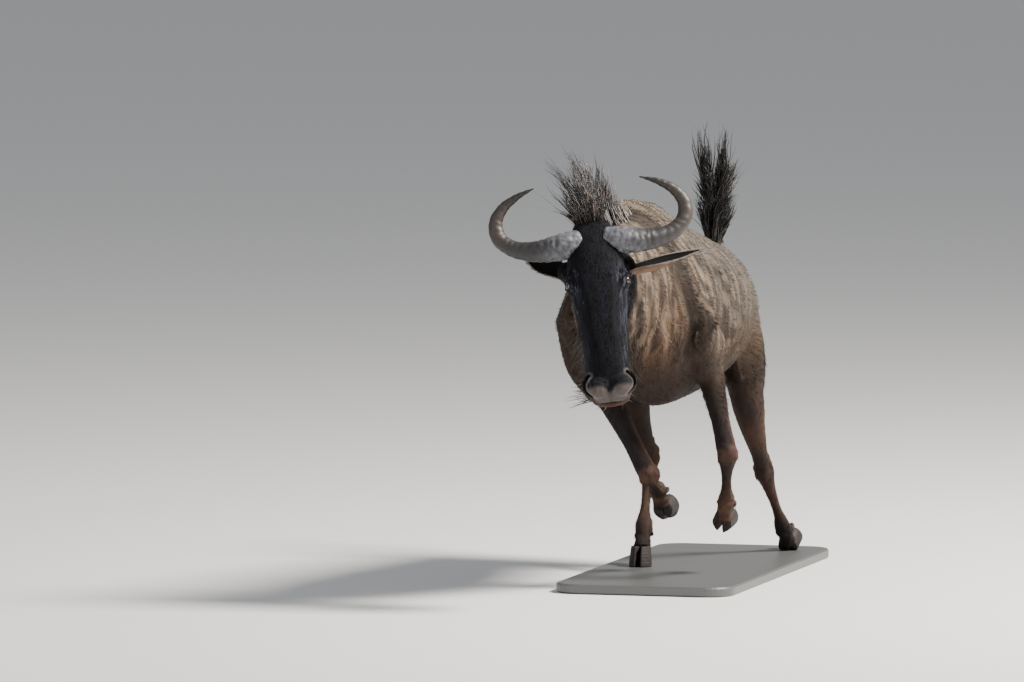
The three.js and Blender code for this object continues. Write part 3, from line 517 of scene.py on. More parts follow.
# The same for the trunk and legs, for the animal's two sides together.
BODY_LINES = [
    ([(-0.250, 1.010), (-0.215, 0.860), (-0.235, 0.700)], 0.026, -0.0150),
    ([(-0.355, 1.020), (-0.400, 0.900), (-0.440, 0.800)], 0.016, 0.0100),
    ([(-0.330, 1.000), (-0.350, 0.900), (-0.370, 0.800)], 0.020, -0.0080),
    ([(-0.300, 0.820), (-0.240, 0.720), (-0.270, 0.640)], 0.016, -0.0090),
    ([(-0.520, 0.960), (-0.500, 0.840), (-0.480, 0.720)], 0.022, -0.0100),
    ([(-0.330, 0.740), (-0.270, 0.700)], 0.040, 0.0120),
    ([(0.230, 0.740), (0.250, 0.660), (0.230, 0.600)], 0.026, -0.0150),
    ([(0.400, 0.960), (0.420, 0.860), (0.400, 0.740)], 0.018, -0.0090),
    ([(0.290, 0.980), (0.320, 0.930)], 0.034, 0.0080),
    ([(0.180, 0.880), (0.230, 0.850)], 0.060, -0.0130),
    ([(0.000, 0.700), (0.120, 0.750), (0.220, 0.800)], 0.026, -0.0060),
]


def blur_noise(points, scale, seed=0):
    """Smooth noise from 0 to 1, with cells of a given size in metres."""
    p = points / np.asarray(scale, float) + seed * 17.31
    cell = np.floor(p).astype(np.int64)
    f = p - cell
    f = f * f * (3 - 2 * f)
    total = np.zeros(len(points))
    for corner in range(8):
        offset = np.array([(corner >> k) & 1 for k in range(3)])
        c = cell + offset
        h = (c[:, 0] * 73856093) ^ (c[:, 1] * 19349663) ^ (c[:, 2] * 83492791)
        h = ((h ^ (h >> 13)) * 1274126177) & 0x7FFFFFFF
        h = (h ^ (h >> 15)) & 0xFFFF
        total += h / 65535 * np.prod(np.where(offset, f, 1 - f), axis=1)
    return total


def leg_offset(p):
    """How far ahead of the nearest leg bone each point lies, from -1 at the back to 1
    at the front, and its distance from the nearest joint."""
    best = np.full(len(p), 9.0)
    ahead = np.zeros(len(p))
    joint = np.full(len(p), 9.0)
    for leg in LEGS:
        path = [leg.get("elbow", leg.get("stifle")), middle_joint(leg), leg["fetlock"], leg["foot"]]
        for top, low in zip(path[:-1], path[1:]):
            run = np.array(low) - np.array(top)
            t = np.clip((p - np.array(top)) @ run / (run @ run), 0, 1)
            away = p - np.array(top) - t[:, None] * run
            d = np.linalg.norm(away, axis=1)
            front = np.array((0.0, -1.0, 0.0))
            front = unit(front - run * (front @ run) / (run @ run))
            closer = d < best
            best[closer] = d[closer]
            ahead[closer] = (away[closer] @ front) / np.maximum(d[closer], 1e-6)
        for at in path[1:3]:
            joint = np.minimum(joint, np.linalg.norm(p - np.array(at), axis=1))
    return ahead, joint


def sculpt(p, out):
    """How far each point of the skin moves out, for muscles, ribs, tendons and folds."""
    move = np.zeros(len(p))
    h = in_head(p)
    head = (np.abs(h[:, 0]) < 0.13) & (np.abs(h[:, 1]) < 0.16)
    head &= (h[:, 2] < -0.03) & (h[:, 2] > -0.6)
    paired = np.column_stack([np.abs(h[:, 0]), h[:, 1:]])
    for path, width, height in HEAD_LINES:
        near = head & (np.linalg.norm(paired - np.mean(path, 0), axis=1) < 0.16)
        d, _ = path_distance(paired[near], path)
        move[near] += height * np.exp(-(d / width) ** 2)
    flank = ~head & (np.abs(out[:, 0]) > 0.3) & (p[:, 2] > 0.55)
    side_view = np.column_stack([p[:, 1], p[:, 2]])
    for path, width, height in BODY_LINES:
        d, _ = path_distance(side_view[flank], path)
        move[flank] += height * np.exp(-(d / width) ** 2)
    ribs = flank * ease(p[:, 1], -0.26, -0.16) * (1 - ease(p[:, 1], 0.12, 0.22))
    ribs = ribs * ease(p[:, 2], 0.64, 0.72) * (1 - ease(p[:, 2], 0.92, 1.02))
    move += ribs * 0.0036 * np.cos((p[:, 1] - 0.30 * (p[:, 2] - 0.8)) / 0.042 * math.tau)
    neck = ~head * (1 - ease(p[:, 1], -0.56, -0.47)) * ease(p[:, 1], -0.90, -0.80)
    folds = np.cos((p[:, 1] + 0.35 * p[:, 2] + 0.02 * np.sin(9 * p[:, 2])) / 0.052 * math.tau)
    move += neck * 0.0026 * folds * (1 - ease(p[:, 2], 0.95, 1.05))
    for leg in LEGS:
        top, low = middle_joint(leg), leg["fetlock"]
        d, t = path_distance(p, [top, low])
        shaft = (d < 0.05) * ease(t, 0.1, 0.3) * (1 - ease(t, 0.75, 0.9))
        run = unit(np.array(low) - np.array(top))
        rear = np.array((0.0, 1.0, 0.0)) - run * run[1]
        angle = np.arccos(np.clip(unit(p - np.array(top) - ((p - top) @ run)[:, None] * run)
                                  @ unit(rear), -1, 1))
        move -= shaft * 0.0038 * np.exp(-((angle - 1.25) / 0.26) ** 2)
    for leg in HIND.values():
        top, low = np.array(leg["stifle"]), np.array(leg["hock"])
        near = (path_distance(p, [top, low])[0] < 0.09) & (p[:, 2] < top[2])
        rear = (0.024, 0.004)
        line = [mix(top[1:], low[1:], t) + rear for t in (0.35, 0.65, 0.88)]
        d, _ = path_distance(side_view[near], [tuple(q) for q in line])
        move[near] -= 0.0090 * np.exp(-(d / 0.011) ** 2) * np.abs(out[near, 0])
    for leg in FORE.values():
        top, low = np.array(leg["elbow"]), np.array(leg["knee"])
        near = (path_distance(p, [top, low])[0] < 0.08) & (p[:, 2] < top[2])
        line = [mix(top[1:], low[1:], t) for t in (0.1, 0.5, 0.9)]
        d, _ = path_distance(side_view[near], [tuple(q) for q in line])
        move[near] -= 0.0050 * np.exp(-(d / 0.008) ** 2) * np.abs(out[near, 0])
    _, joint = leg_offset(p)
    bony = (1 - ease(joint, 0.030, 0.065)) * (p[:, 2] < 0.45)
    move += bony * 0.0070 * (blur_noise(p, 0.017, 21) - 0.5)
    return move


NOSTRIL_OUT = unit((0.74, -0.62, -0.25))


def nostril_distance(h, side):
    """How far each point lies from the slit, seen straight into the nostril, the
    slit's half width there, and whether the point is on the outside of the muzzle."""
    way = NOSTRIL_OUT * (side, 1, 1)
    path = NOSTRIL_PATH * (side, 1, 1)
    flat = h - (h @ way)[:, None] * way
    d, t = path_distance(flat, path - (path @ way)[:, None] * way)
    wide = 0.0030 + 0.0048 * np.sin(math.pi * np.clip(0.25 + 0.75 * t, 0, 1)) ** 1.2
    return d, wide, (h - path.mean(0)) @ way > -0.025


def carve_eyes_and_nostrils(p):
    """Sinks the skin under each eyelid opening and into each nostril."""
    h = in_head(p)
    for side in (-1, 1):
        look, up, ahead = eye_axes(side)
        local = (h - side_of(EYE_AT, side)) @ np.stack([ahead, up, look]).T
        a, u, depth = local.T
        reach = np.clip(1 - (a / (EYE_RADIUS * 0.92)) ** 2, 0, 1)
        opening = (np.abs(u) < EYE_RADIUS * 0.60 * np.sqrt(reach)) & (depth > 0) & (depth < 0.06)
        ball = np.sqrt(np.maximum(EYE_RADIUS**2 - a**2 - u**2, 0)) - 0.004
        local[:, 2] = np.where(opening, np.minimum(depth, ball), depth)
        h = local @ np.stack([ahead, up, look]) + side_of(EYE_AT, side)
        d, wide, outer = nostril_distance(h, side)
        hole = (1 - ease(d, wide - 0.001, wide + 0.0025)) * outer
        h = h - hole[:, None] * 0.022 * NOSTRIL_OUT * (side, 1, 1)
        rim = np.exp(-((d - wide - 0.0045) / 0.0038) ** 2) * 0.0030 * outer
        h = h + rim[:, None] * NOSTRIL_OUT * (side, 1, 1)
    return placed(h, HEAD_FRAME)


refine(skin, head_zone)
refine(skin, detail_zone)
body = vertex_data(skin.data, "co") - shift
outward = vertex_data(skin.data, "normal")
body = body + outward * sculpt(body, outward)[:, None]
near_head = detail_zone(body)
body[near_head] = carve_eyes_and_nostrils(body[near_head])
set_coordinates(skin.data, body + shift)
print("skin", len(skin.data.vertices), "points")

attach(skin, "root")
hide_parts("torso", "neck", "head", "tail", *[
    f"{pair}_{side}_{part}" for pair in ("fore", "hind") for side in ("left", "right")
    for part in ("upper", "shank")])


# Hide: short, flat, dull hair. Slate brown with dark stripes down the neck and
# ribs, rusty low on the neck, darker towards the belly, reddish down the legs
# and blue-black on the face. Painted shade darkens the brisket, the hollow between
# neck and shoulder, the mouth's crease and the nostrils; painted sheen silvers the
# cheeks and lights the nostril rims. The same markings colour the skin and the coat.
def linear(code):
    """Linear colour of an sRGB hex code."""
    part = np.array([int(code[i:i + 2], 16) for i in (1, 3, 5)]) / 255
    return np.where(part <= 0.04045, part / 12.92, ((part + 0.055) / 1.055) ** 2.4)


def plain(code, count):
    return np.repeat(linear(code)[None], count, 0)


def blend(colour, other, amount):
    """Mixes in another colour, given as linear values or as a hex code."""
    other = linear(other) if isinstance(other, str) else other
    return colour + (other - colour) * np.clip(amount, 0, 1)[:, None]


def face_share(p):
    h = in_head(p)
    near = 1 - ease(np.hypot(h[:, 0], (h[:, 1] - 0.02) * 0.8), 0.135, 0.17)
    top = 0.03 - 1.1 * np.maximum(h[:, 1], 0)
    return near * (1 - ease(h[:, 2] - top, -0.02, 0.02))


def leg_share(p):
    return (1 - ease(p[:, 2], 0.46, 0.60)) * (p[:, 1] > -0.55)


def coat_colour(points):
    p = points - shift
    x, y, z = p.T
    rough = blur_noise(p, 0.11, 1)
    fine = blur_noise(p, (0.012, 0.03, 0.03), 2)
    colour = plain("#5a524c", len(p))
    colour = blend(colour, "#6c645c", ease(z, 0.93, 1.10) * 0.8)
    # Darker towards the bottom of the barrel.
    colour = blend(colour, "#47392d", 1 - ease(z + 0.06 * rough, 0.68, 0.91))
    colour = blend(colour, "#231b16", 1 - ease(z + 0.05 * rough, 0.59, 0.77))
    rust = (1 - ease(np.abs(y + 0.56), 0.04, 0.16)) * (1 - ease(np.abs(z - 0.80), 0.05, 0.20))
    colour = blend(colour, "#664330", rust * 0.6 * (0.4 + rough))
    warp = blur_noise(p, (0.12, 0.10, 0.16), 3) - 0.5
    wave = np.cos((y + 0.16 * (z - 0.85) + 0.10 * warp) / 0.054 * math.tau)
    where = (1 - 0.85 * ease(y, -0.30, 0.20)) * ease(z, 0.60, 0.76) * (1 - ease(y, 0.20, 0.4))
    broken = (blur_noise(p, (0.1, 0.030, 0.05), 4) + 1.3 * blur_noise(p, (0.05, 0.008, 0.05), 6)
              - 1.15)
    band = ease(wave + 1.9 * broken, -0.1, 1.0)
    mottle = blur_noise(p, (0.03, 0.010, 0.030), 9) + blur_noise(p, (0.008, 0.02, 0.02), 10)
    colour = colour * (0.72 + 0.28 * mottle)[:, None]
    strand = blur_noise(p, (0.03, 0.0065, 0.11), 31) + 0.5 * blur_noise(p, (0.02, 0.014, 0.16), 32)
    colour = blend(colour, "#7c6854", where * ease(strand, 0.62, 0.95) * ease(-y, 0.2, 0.5) * 0.6)
    colour = blend(colour, "#2a221d", where * (1 - ease(strand, 0.5, 0.8)) * 0.6)
    colour = blend(colour, "#211c19", band * where * 0.62)
    colour = blend(colour, "#8d7d6a", ease(-wave + 1.5 * broken, 0.4, 1.2) * where * 0.3)
    # Painted shade: a dark band in the hollow where the neck meets the shoulder.
    band = (1 - ease(np.abs(y + 0.475 + 0.1 * (z - 0.8)), 0.02, 0.075)) * ease(z, 0.62, 0.74)
    colour = blend(colour, "#1d1917", band * 0.7)
    # Painted shade on the brisket, low at the front of the chest.
    brisket_shade = ease(-y, 0.26, 0.40) * (1 - ease(z + 0.10 * rough, 0.70, 0.87))
    colour = blend(colour, "#2a1f19", brisket_shade * 0.85)
    crest = ease(-y, 0.60, 0.68) * ease(z, 1.02, 1.08) * (1 - ease(np.abs(x + 0.02), 0.035, 0.06))
    colour = blend(colour, "#17130f", crest)
    legs = leg_share(p)
    red = blend(plain("#4d382d", len(p)), "#30251f", ease(rough, 0.35, 0.75))
    red = blend(red, "#3f2e25", ease(z, 0.38, 0.56) * 0.6)
    red = blend(red, "#241d1a", 1 - ease(z, 0.06, 0.20))
    ahead, joint = leg_offset(p)
    fore = (y < 0.05).astype(float)
    front = ease(ahead, 0.1, 0.75)
    red = blend(red, "#16151a", front * (0.35 + 0.5 * fore * ease(z, 0.30, 0.36)))
    red = blend(red, "#634a3d", front * (1 - ease(joint, 0.026, 0.044)) * fore * 0.45)
    red = blend(red, "#7a6353", ease(-ahead, 0.3, 0.9) * 0.30)
    colour_noise = blur_noise(p, (0.006, 0.006, 0.02), 17)
    red = red * (0.75 + 0.5 * colour_noise)[:, None]
    colour = blend(colour, red, legs)
    face = face_share(p)
    h = in_head(p)
    dark = plain("#08080d", len(p))
    sleek = blur_noise(h, (0.004, 0.004, 0.030), 14)
    dark = blend(dark, "#10121f", ease(sleek, 0.5, 0.9))
    # Painted sheen: silvery streaks on the cheeks, for light raking the blue-black hair.
    streak = ease(blur_noise(h, (0.0035, 0.004, 0.026), 5), 0.42, 0.85)
    streak = streak * ease(blur_noise(h, 0.05, 12), 0.25, 0.7)
    cheek_sheen = ease(np.abs(h[:, 0]), 0.035, 0.075) * (1 - ease(h[:, 2], -0.16, -0.08))
    dark = blend(dark, "#5b5e70", streak * cheek_sheen * 0.42)
    pad = -0.496 - 0.016 * np.exp(-(h[:, 0] / 0.014) ** 2)
    muzzle = (1 - ease(h[:, 2] - pad, -0.010, 0.008)) * (1 - ease(h[:, 1], -0.025, -0.012))
    dark = blend(dark, "#5d5552", muzzle * 0.85)
    lips = (1 - ease(h[:, 2], -0.50, -0.47)) * np.exp(-((h[:, 1] + 0.004) / 0.010) ** 2)
    dark = blend(dark, "#5c3d2c", lips * 0.7)
    paired = np.column_stack([np.abs(h[:, 0]), h[:, 1:]])
    near = (h[:, 2] < -0.36) & (face > 0.1)
    # Painted shade along the crease of the mouth.
    d, _ = path_distance(paired[near], MOUTH_LINE)
    dark[near] = blend(dark[near], "#241712", 1 - ease(d, 0.002, 0.006))
    # Painted shade: black inside each nostril.
    d, wide, outer = nostril_distance(paired[near], 1)
    dark[near] = blend(dark[near], "#0a0808", (1 - ease(d, wide, wide + 0.003)) * outer)
    # Painted highlight: a pale rim round each nostril, as of lit, wet skin.
    rim = np.exp(-((d - wide - 0.0055) / 0.0030) ** 2) * outer
    dark[near] = blend(dark[near], "#8f877e", rim * 0.28)
    lid = eye_distance(h)
    dark = blend(dark, "#0d0b0c", 1 - ease(lid, 0.020, 0.030))
    colour = blend(colour, dark, face)
    tail = ease(y, 0.52, 0.56) * ease(z, 0.93, 0.98)
    colour = blend(colour, "#1a1614", tail)
    return colour * (0.86 + 0.28 * fine)[:, None]


def store_colour(mesh, colour):
    attribute = mesh.color_attributes.new("coat", "FLOAT_COLOR", "POINT")
    data = np.ones((len(colour), 4), np.float32)
    data[:, :3] = colour
    attribute.data.foreach_set("color", data.ravel())


def add_node(tree, kind, settings=None, inputs=None):
    """Adds one shader node; an input is a constant or another node's socket."""
    made = tree.nodes.new(kind)
    for key, value in (settings or {}).items():
        setattr(made, key, value)
    for key, value in (inputs or {}).items():
        if isinstance(value, bpy.types.NodeSocket):
            tree.links.new(value, made.inputs[key])
        else:
            made.inputs[key].default_value = value
    return made


def new_material(name):
    material = bpy.data.materials.new(name)
    material.use_nodes = True
    tree = material.node_tree
    return material, tree, tree.nodes["Principled BSDF"]


def coat_material(name):
    """A material that takes its colour from the mesh."""
    material, tree, surface = new_material(name)
    colour = add_node(tree, "ShaderNodeAttribute", {"attribute_name": "coat"}).outputs["Color"]
    tree.links.new(colour, surface.inputs["Base Color"])
    return material, tree, surface


def add_bump(tree, surface, height, strength, distance):
    bump = add_node(tree, "ShaderNodeBump", None,
                    {"Height": height, "Strength": strength, "Distance": distance})
    tree.links.new(bump.outputs["Normal"], surface.inputs["Normal"])


def short_fur():
    """Short, dull, close hair: its lie is drawn by fine streaks in the bump."""
    material, tree, surface = new_material("short dull hair")
    where = add_node(tree, "ShaderNodeTexCoord").outputs["Object"]
    colour = add_node(tree, "ShaderNodeAttribute", {"attribute_name": "coat"}).outputs["Color"]
    streaks = []
    for size in ((620, 90, 240), (620, 620, 90)):
        turned = add_node(tree, "ShaderNodeMapping", None,
                          {"Vector": where, "Scale": size}).outputs["Vector"]
        streaks.append(add_node(tree, "ShaderNodeTexNoise", None,
                                {"Vector": turned, "Scale": 1.0, "Detail": 3.0}).outputs["Fac"])
    down = add_node(tree, "ShaderNodeAttribute", {"attribute_name": "down"}).outputs["Fac"]
    mixed = add_node(tree, "ShaderNodeMix", None,
                     {0: down, 2: streaks[0], 3: streaks[1]}).outputs[0]
    shade = add_node(tree, "ShaderNodeMapRange", None,
                     {"Value": mixed, "From Min": 0.3, "From Max": 0.7,
                      "To Min": 0.7, "To Max": 1.25}).outputs["Result"]
    tint = add_node(tree, "ShaderNodeVectorMath", {"operation": "SCALE"},
                    {0: colour, "Scale": shade}).outputs["Vector"]
    tree.links.new(tint, surface.inputs["Base Color"])
    add_bump(tree, surface, mixed, 0.6, 0.004)
    surface.inputs["Roughness"].default_value = 0.7
    surface.inputs["Specular IOR Level"].default_value = 0.14
    return material


def store_down(mesh, points):
    attribute = mesh.attributes.new("down", "FLOAT", "POINT")
    p = points - shift
    attribute.data.foreach_set("value", np.maximum(leg_share(p), face_share(p)).astype(np.float32))


skin_points = vertex_data(skin.data, "co")
store_colour(skin.data, coat_colour(skin_points))
store_down(skin.data, skin_points)
skin.data.materials.append(short_fur())


# Coat: tufts of hair over the skin, in the lie of the hair: back along the body,
# down the legs, down the face. They're smallest on the face and the feet.
skin_faces = np.array([p.vertices[:] for p in skin.data.polygons if len(p.vertices) == 4])
corners = skin_points[skin_faces]
face_area = np.linalg.norm(np.cross(corners[:, 2] - corners[:, 0], corners[:, 3] - corners[:, 1]),
                           axis=1) / 2
skin_normals = vertex_data(skin.data, "normal")


def unwrap(points):
    """A place from 0 to 1 for each point, on the body rolled out flat: one strip
    for the trunk, neck and tail, one for the head and one for each leg."""
    p = points - shift
    turn = np.arctan2(p[:, 0], p[:, 2] - 0.85) / math.tau + 0.5
    flat = np.column_stack([turn * 0.48, (p[:, 1] + 1.0) / 2.0 * 0.48])
    head = face_share(p) > 0.5
    h = in_head(p)
    turn = np.arctan2(h[:, 0], h[:, 1]) / math.tau + 0.5
    flat[head] = np.column_stack([0.52 + turn * 0.46, (-h[:, 2] + 0.1) / 0.8 * 0.48])[head]
    for i, leg in enumerate(LEGS):
        knee = middle_joint(leg)
        near = (p[:, 2] < 0.50) & (np.sign(p[:, 0] - 0.06) == leg["side"])
        near &= (p[:, 1] < 0.05) == ("knee" in leg)
        turn = np.arctan2(p[:, 0] - knee[0], p[:, 1] - knee[1]) / math.tau + 0.5
        flat[near] = np.column_stack([0.02 + i * 0.24 + turn * 0.22, 0.52 + p[:, 2] * 0.9])[near]
    return flat


PIECE_TRIANGLES = 190000
PATCH = 0.003       # side of a lock's own patch on the map


def blades(name, roots, toward, bend, across, length, width, thick, segments, colour, tip,
           material, slot, wave=0.0, seed=1, fullness=0.7, sides=4):
    """Closed, flat, tapered locks of hair, joined into pieces of at most PIECE_TRIANGLES triangles.
    Each leaves its root in one direction and bends into another."""
    rng = np.random.default_rng(seed)
    count = len(roots)
    toward, across = unit(toward), unit(across - toward * np.sum(across * unit(toward), 1)[:, None])
    t = np.linspace(0, 1, segments + 1)
    axis = (roots[:, None] + (toward * length[:, None])[:, None] * t[None, :, None]
            + (bend * length[:, None])[:, None] * (t**2)[None, :, None])
    phase = rng.uniform(0, math.tau, (count, 1))
    sway = np.sin(t[None] * rng.uniform(4, 8, (count, 1)) + phase) - np.sin(phase)
    axis += across[:, None] * (sway * wave * t[None] * length[:, None])[..., None]
    slope = unit(np.gradient(axis, axis=1))
    wide = across[:, None] - slope * np.sum(across[:, None] * slope, -1)[..., None]
    wide = unit(wide)
    deep = np.cross(slope, wide)
    taper = np.maximum((1 - t) ** fullness * (0.55 + 0.45 * np.minimum(t / 0.18, 1)), 0.04)
    half = width[:, None] * taper[None] / 2
    turn = np.arange(sides) / sides * math.tau
    rings = (axis[:, :, None] + wide[:, :, None] * half[..., None, None] * np.cos(turn)[:, None]
             + deep[:, :, None] * (half * thick)[..., None, None] * np.sin(turn)[:, None])
    one = []
    for i in range(segments):
        for k in range(sides):
            a, b = i * sides + k, i * sides + (k + 1) % sides
            one += [(a, b, b + sides), (a, b + sides, a + sides)]
    last = segments * sides
    for k in range(1, sides - 1):
        one += [(0, k + 1, k), (last, last + k, last + k + 1)]
    one = np.array(one)
    per_piece = PIECE_TRIANGLES // len(one)
    shade = colour[:, None] + (tip - colour)[:, None] * (t**1.4)[None, :, None]
    patch = unwrap(roots)
    step = np.column_stack([np.cos(turn) / 2 + 0.5, turn * 0]) * PATCH * 2 / 3
    cell = step[None] + np.column_stack([t * 0, t * PATCH])[:, None]
    for index, first in enumerate(range(0, count, per_piece)):
        part = slice(first, min(first + per_piece, count))
        own = rings[part].reshape(-1, 3)
        size = (segments + 1) * sides
        number = len(rings[part])
        all_faces = (one[None] + np.arange(number)[:, None, None] * size).reshape(-1, 3)
        mesh = bpy.data.meshes.new(f"{name}_{index}")
        mesh.vertices.add(len(own))
        mesh.vertices.foreach_set("co", own.astype(np.float32).ravel())
        mesh.loops.add(all_faces.size)
        mesh.loops.foreach_set("vertex_index", all_faces.ravel().astype(np.int32))
        mesh.polygons.add(len(all_faces))
        mesh.polygons.foreach_set("loop_start", np.arange(0, all_faces.size, 3, dtype=np.int32))
        mesh.update(calc_edges=True)
        mesh.shade_smooth()
        store_colour(mesh, np.repeat(shade[part][:, :, None], sides, 2).reshape(-1, 3))
        uv = (patch[part][:, None, None] + cell[None]).reshape(-1, 2)
        layer = mesh.uv_layers.new(name="OFBake")
        layer.uv.foreach_set("vector", uv[all_faces.ravel()].astype(np.float32).ravel())
        mesh.materials.append(material)
        piece = bpy.data.objects.new(mesh.name, mesh)
        bpy.context.scene.collection.objects.link(piece)
        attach(piece, "root")


def hair_material(name, roughness, shine):
    material, _, surface = coat_material(name)
    surface.inputs["Roughness"].default_value = roughness
    surface.inputs["Specular IOR Level"].default_value = shine
    return material


def coat_lie(p):
    """The way the hair points, for points in the animal's frame."""
    lie = np.repeat([[0.0, 1.0, -0.45]], len(p), 0)
    rump = ease(p[:, 1], 0.25, 0.5)[:, None]
    lie = lie * (1 - rump) + np.array([0, 0.5, -1.0]) * rump
    front = (ease(-p[:, 1], 0.45, 0.6) * (1 - ease(p[:, 2], 0.7, 0.85)))[:, None]
    lie = lie * (1 - front) + np.array([0, 0.5, -1.0]) * front
    legs = leg_share(p)[:, None]
    lie = lie * (1 - legs) + np.array([0, 0.2, -1.0]) * legs
    face = face_share(p)[:, None]
    down_face = np.array(HEAD_FRAME.to_3x3() @ Vector((0, 0, -1)))
    return lie * (1 - face) + down_face * face


def coat(count, seed):
    rng = np.random.default_rng(seed)
    middle = corners.mean(1) - shift
    weight = face_area * (1 + 2.2 * np.maximum(face_share(middle), leg_share(middle)))
    chosen = rng.choice(len(skin_faces), count, p=weight / weight.sum())
    share = rng.dirichlet((1, 1, 1, 1), count)
    roots = np.einsum("nk,nkc->nc", share, corners[chosen])
    out = unit(skin_normals[skin_faces[chosen]].mean(1))
    p = roots - shift
    h = in_head(p)
    nose = (h[:, 2] < -0.455) & (face_share(p) > 0.3)
    above_hooves = p[:, 2] > 0.03
    keep = (eye_distance(h) > 0.032) & ~nose & above_hooves
    roots, out, p = roots[keep], out[keep], p[keep]
    count = len(roots)
    small = np.maximum(face_share(p), leg_share(p))
    lie = coat_lie(p) + rng.normal(0, 0.12, (count, 3))
    lie = unit(lie - out * np.sum(lie * out, 1)[:, None])
    length = (0.024 - 0.011 * small) * rng.uniform(0.7, 1.3, count)
    width = (0.0044 - 0.0019 * small) * rng.uniform(0.7, 1.3, count)
    face = face_share(p)
    toward = lie + out * (rng.uniform(0.16, 0.34, count) + 0.10 * small)[:, None]
    colour = coat_colour(roots) * (rng.uniform(0.7, 1.2, count) + 0.3 * face * rng.random(count)
                                   )[:, None]
    # Painted sheen: a share of the cheek tufts coloured silvery, for light raking the hair.
    cheek_sheen = face * ease(np.abs(h[keep][:, 0]), 0.04, 0.07) * (h[keep][:, 2] < -0.12)
    silver = rng.random(count) < 0.14 * cheek_sheen
    colour[silver] = linear("#7b7c84") * rng.uniform(0.4, 1.1, silver.sum())[:, None]
    blades("coat", roots - out * 0.002, toward, -out * 0.16, np.cross(out, lie), length, width,
           0.35, 2, colour, colour * 1.2, hair_material("coat hair", 0.7, 0.1), "hide", seed=seed,
           sides=3)


coat(62000, 5)


def longer_hair(seed):
    """A pale tuft before the right elbow, and dark fringes behind the fetlocks."""
    rng = np.random.default_rng(seed)
    p = skin_points - shift
    ahead, _ = leg_offset(p)
    for pair, legs in (("fore", FORE), ("hind", HIND)):
        for side, leg in legs.items():
            at = np.array(leg["fetlock"]) + (0, 0, -0.012)
            spots = [("fetlock", at, 0.045, ahead < -0.2, "#2b211c", 0.026, 170)]
            if pair == "fore":
                at = np.array(leg["elbow"]) + (-leg["side"] * 0.020, -0.060, 0.055)
                spots.append(("elbow", at, 0.075, p[:, 1] < at[1], "#75685c", 0.024, 110))
            for place, centre, reach, where, tone, size, count in spots:
                near = (np.linalg.norm(p - centre, axis=1) < reach) & where
                if not near.any():      # the left elbow lies too deep in the shoulder
                    continue
                i = rng.choice(np.flatnonzero(near), count)
                out = unit(skin_normals[i])
                toward = np.array((0, 0.15, -1.0)) + out * 0.35 + rng.normal(0, 0.15, (count, 3))
                colour = plain(tone, count) * rng.uniform(0.4, 1.3, (count, 1))
                blades(f"{place}_{pair}_{side}", skin_points[i] - out * 0.003, toward, -out * 0.25,
                       rng.normal(0, 1, (count, 3)), size * rng.uniform(0.6, 1.25, count),
                       rng.uniform(0.002, 0.0036, count), 0.4, 3, colour, colour * 1.3,
                       mane_hair, "leg_hide", seed=seed, sides=3)


mane_hair = hair_material("long coarse hair", 0.42, 0.5)
longer_hair(91)


# Mane: long, coarse, black hair along the crest of the neck, flung up and over to
# the animal's right by the gallop, in pointed locks with some strands bleached grey.
def neck_ring(t, angle):
    """Points and outward directions on the neck, at shares of its length."""
    centre, _, fore, side, size = sections(NECK_PATH, NECK_ROWS, NECK_FRONT, 60)
    i = np.clip(np.round(t * 59).astype(int), 0, 59)
    c, s = np.cos(angle), np.sin(angle)
    out = c[:, None] * fore[i] + s[:, None] * side[i]
    deep = np.where(c > 0, size[i, 1], size[i, 2])
    return (centre[i] + (deep * c)[:, None] * fore[i] + (size[i, 0] * s)[:, None] * side[i]
            + shift, unit(out))


def strand_colours(rng, count, dark, pale, share, pale_tip=None):
    colour = plain(dark, count) * rng.uniform(0.6, 1.5, count)[:, None]
    light = rng.random(count) < share
    colour[light] = linear(pale) * rng.uniform(0.6, 1.1, light.sum())[:, None]
    tip = colour * 1.3 if pale_tip is None else blend(colour, pale_tip,
                                                     rng.uniform(0.1, 0.6, count))
    return colour, tip


def gathered(rng, roots, lock, ways, reach, loose):
    """Directions and lengths that draw the hairs of each lock to one tip."""
    middle = np.array([roots[lock == k].mean(0) if (lock == k).any() else roots[0]
                       for k in range(len(ways))])
    tips = middle + unit(ways) * reach[:, None]
    toward = tips[lock] + rng.normal(0, loose, roots.shape) - roots
    return toward, np.linalg.norm(toward, axis=1)


def strands(rng, name, roots, toward, bend, length, widths, segments, colours, wave, seed):
    """Long, coarse, flat hairs, turned every way and of mixed widths."""
    across = rng.normal(0, 1, (len(roots), 3))
    blades(name, roots, toward, bend, across, length, rng.uniform(*widths, len(roots)), 0.4,
           segments, *colours, mane_hair, "tail_hair", wave=wave, seed=seed, fullness=0.6)


MANE_START, MANE_SPAN = 0.18, 0.81      # shares of the neck's length
MANE_ROWS, LOCKS_A_ROW = 30, 3


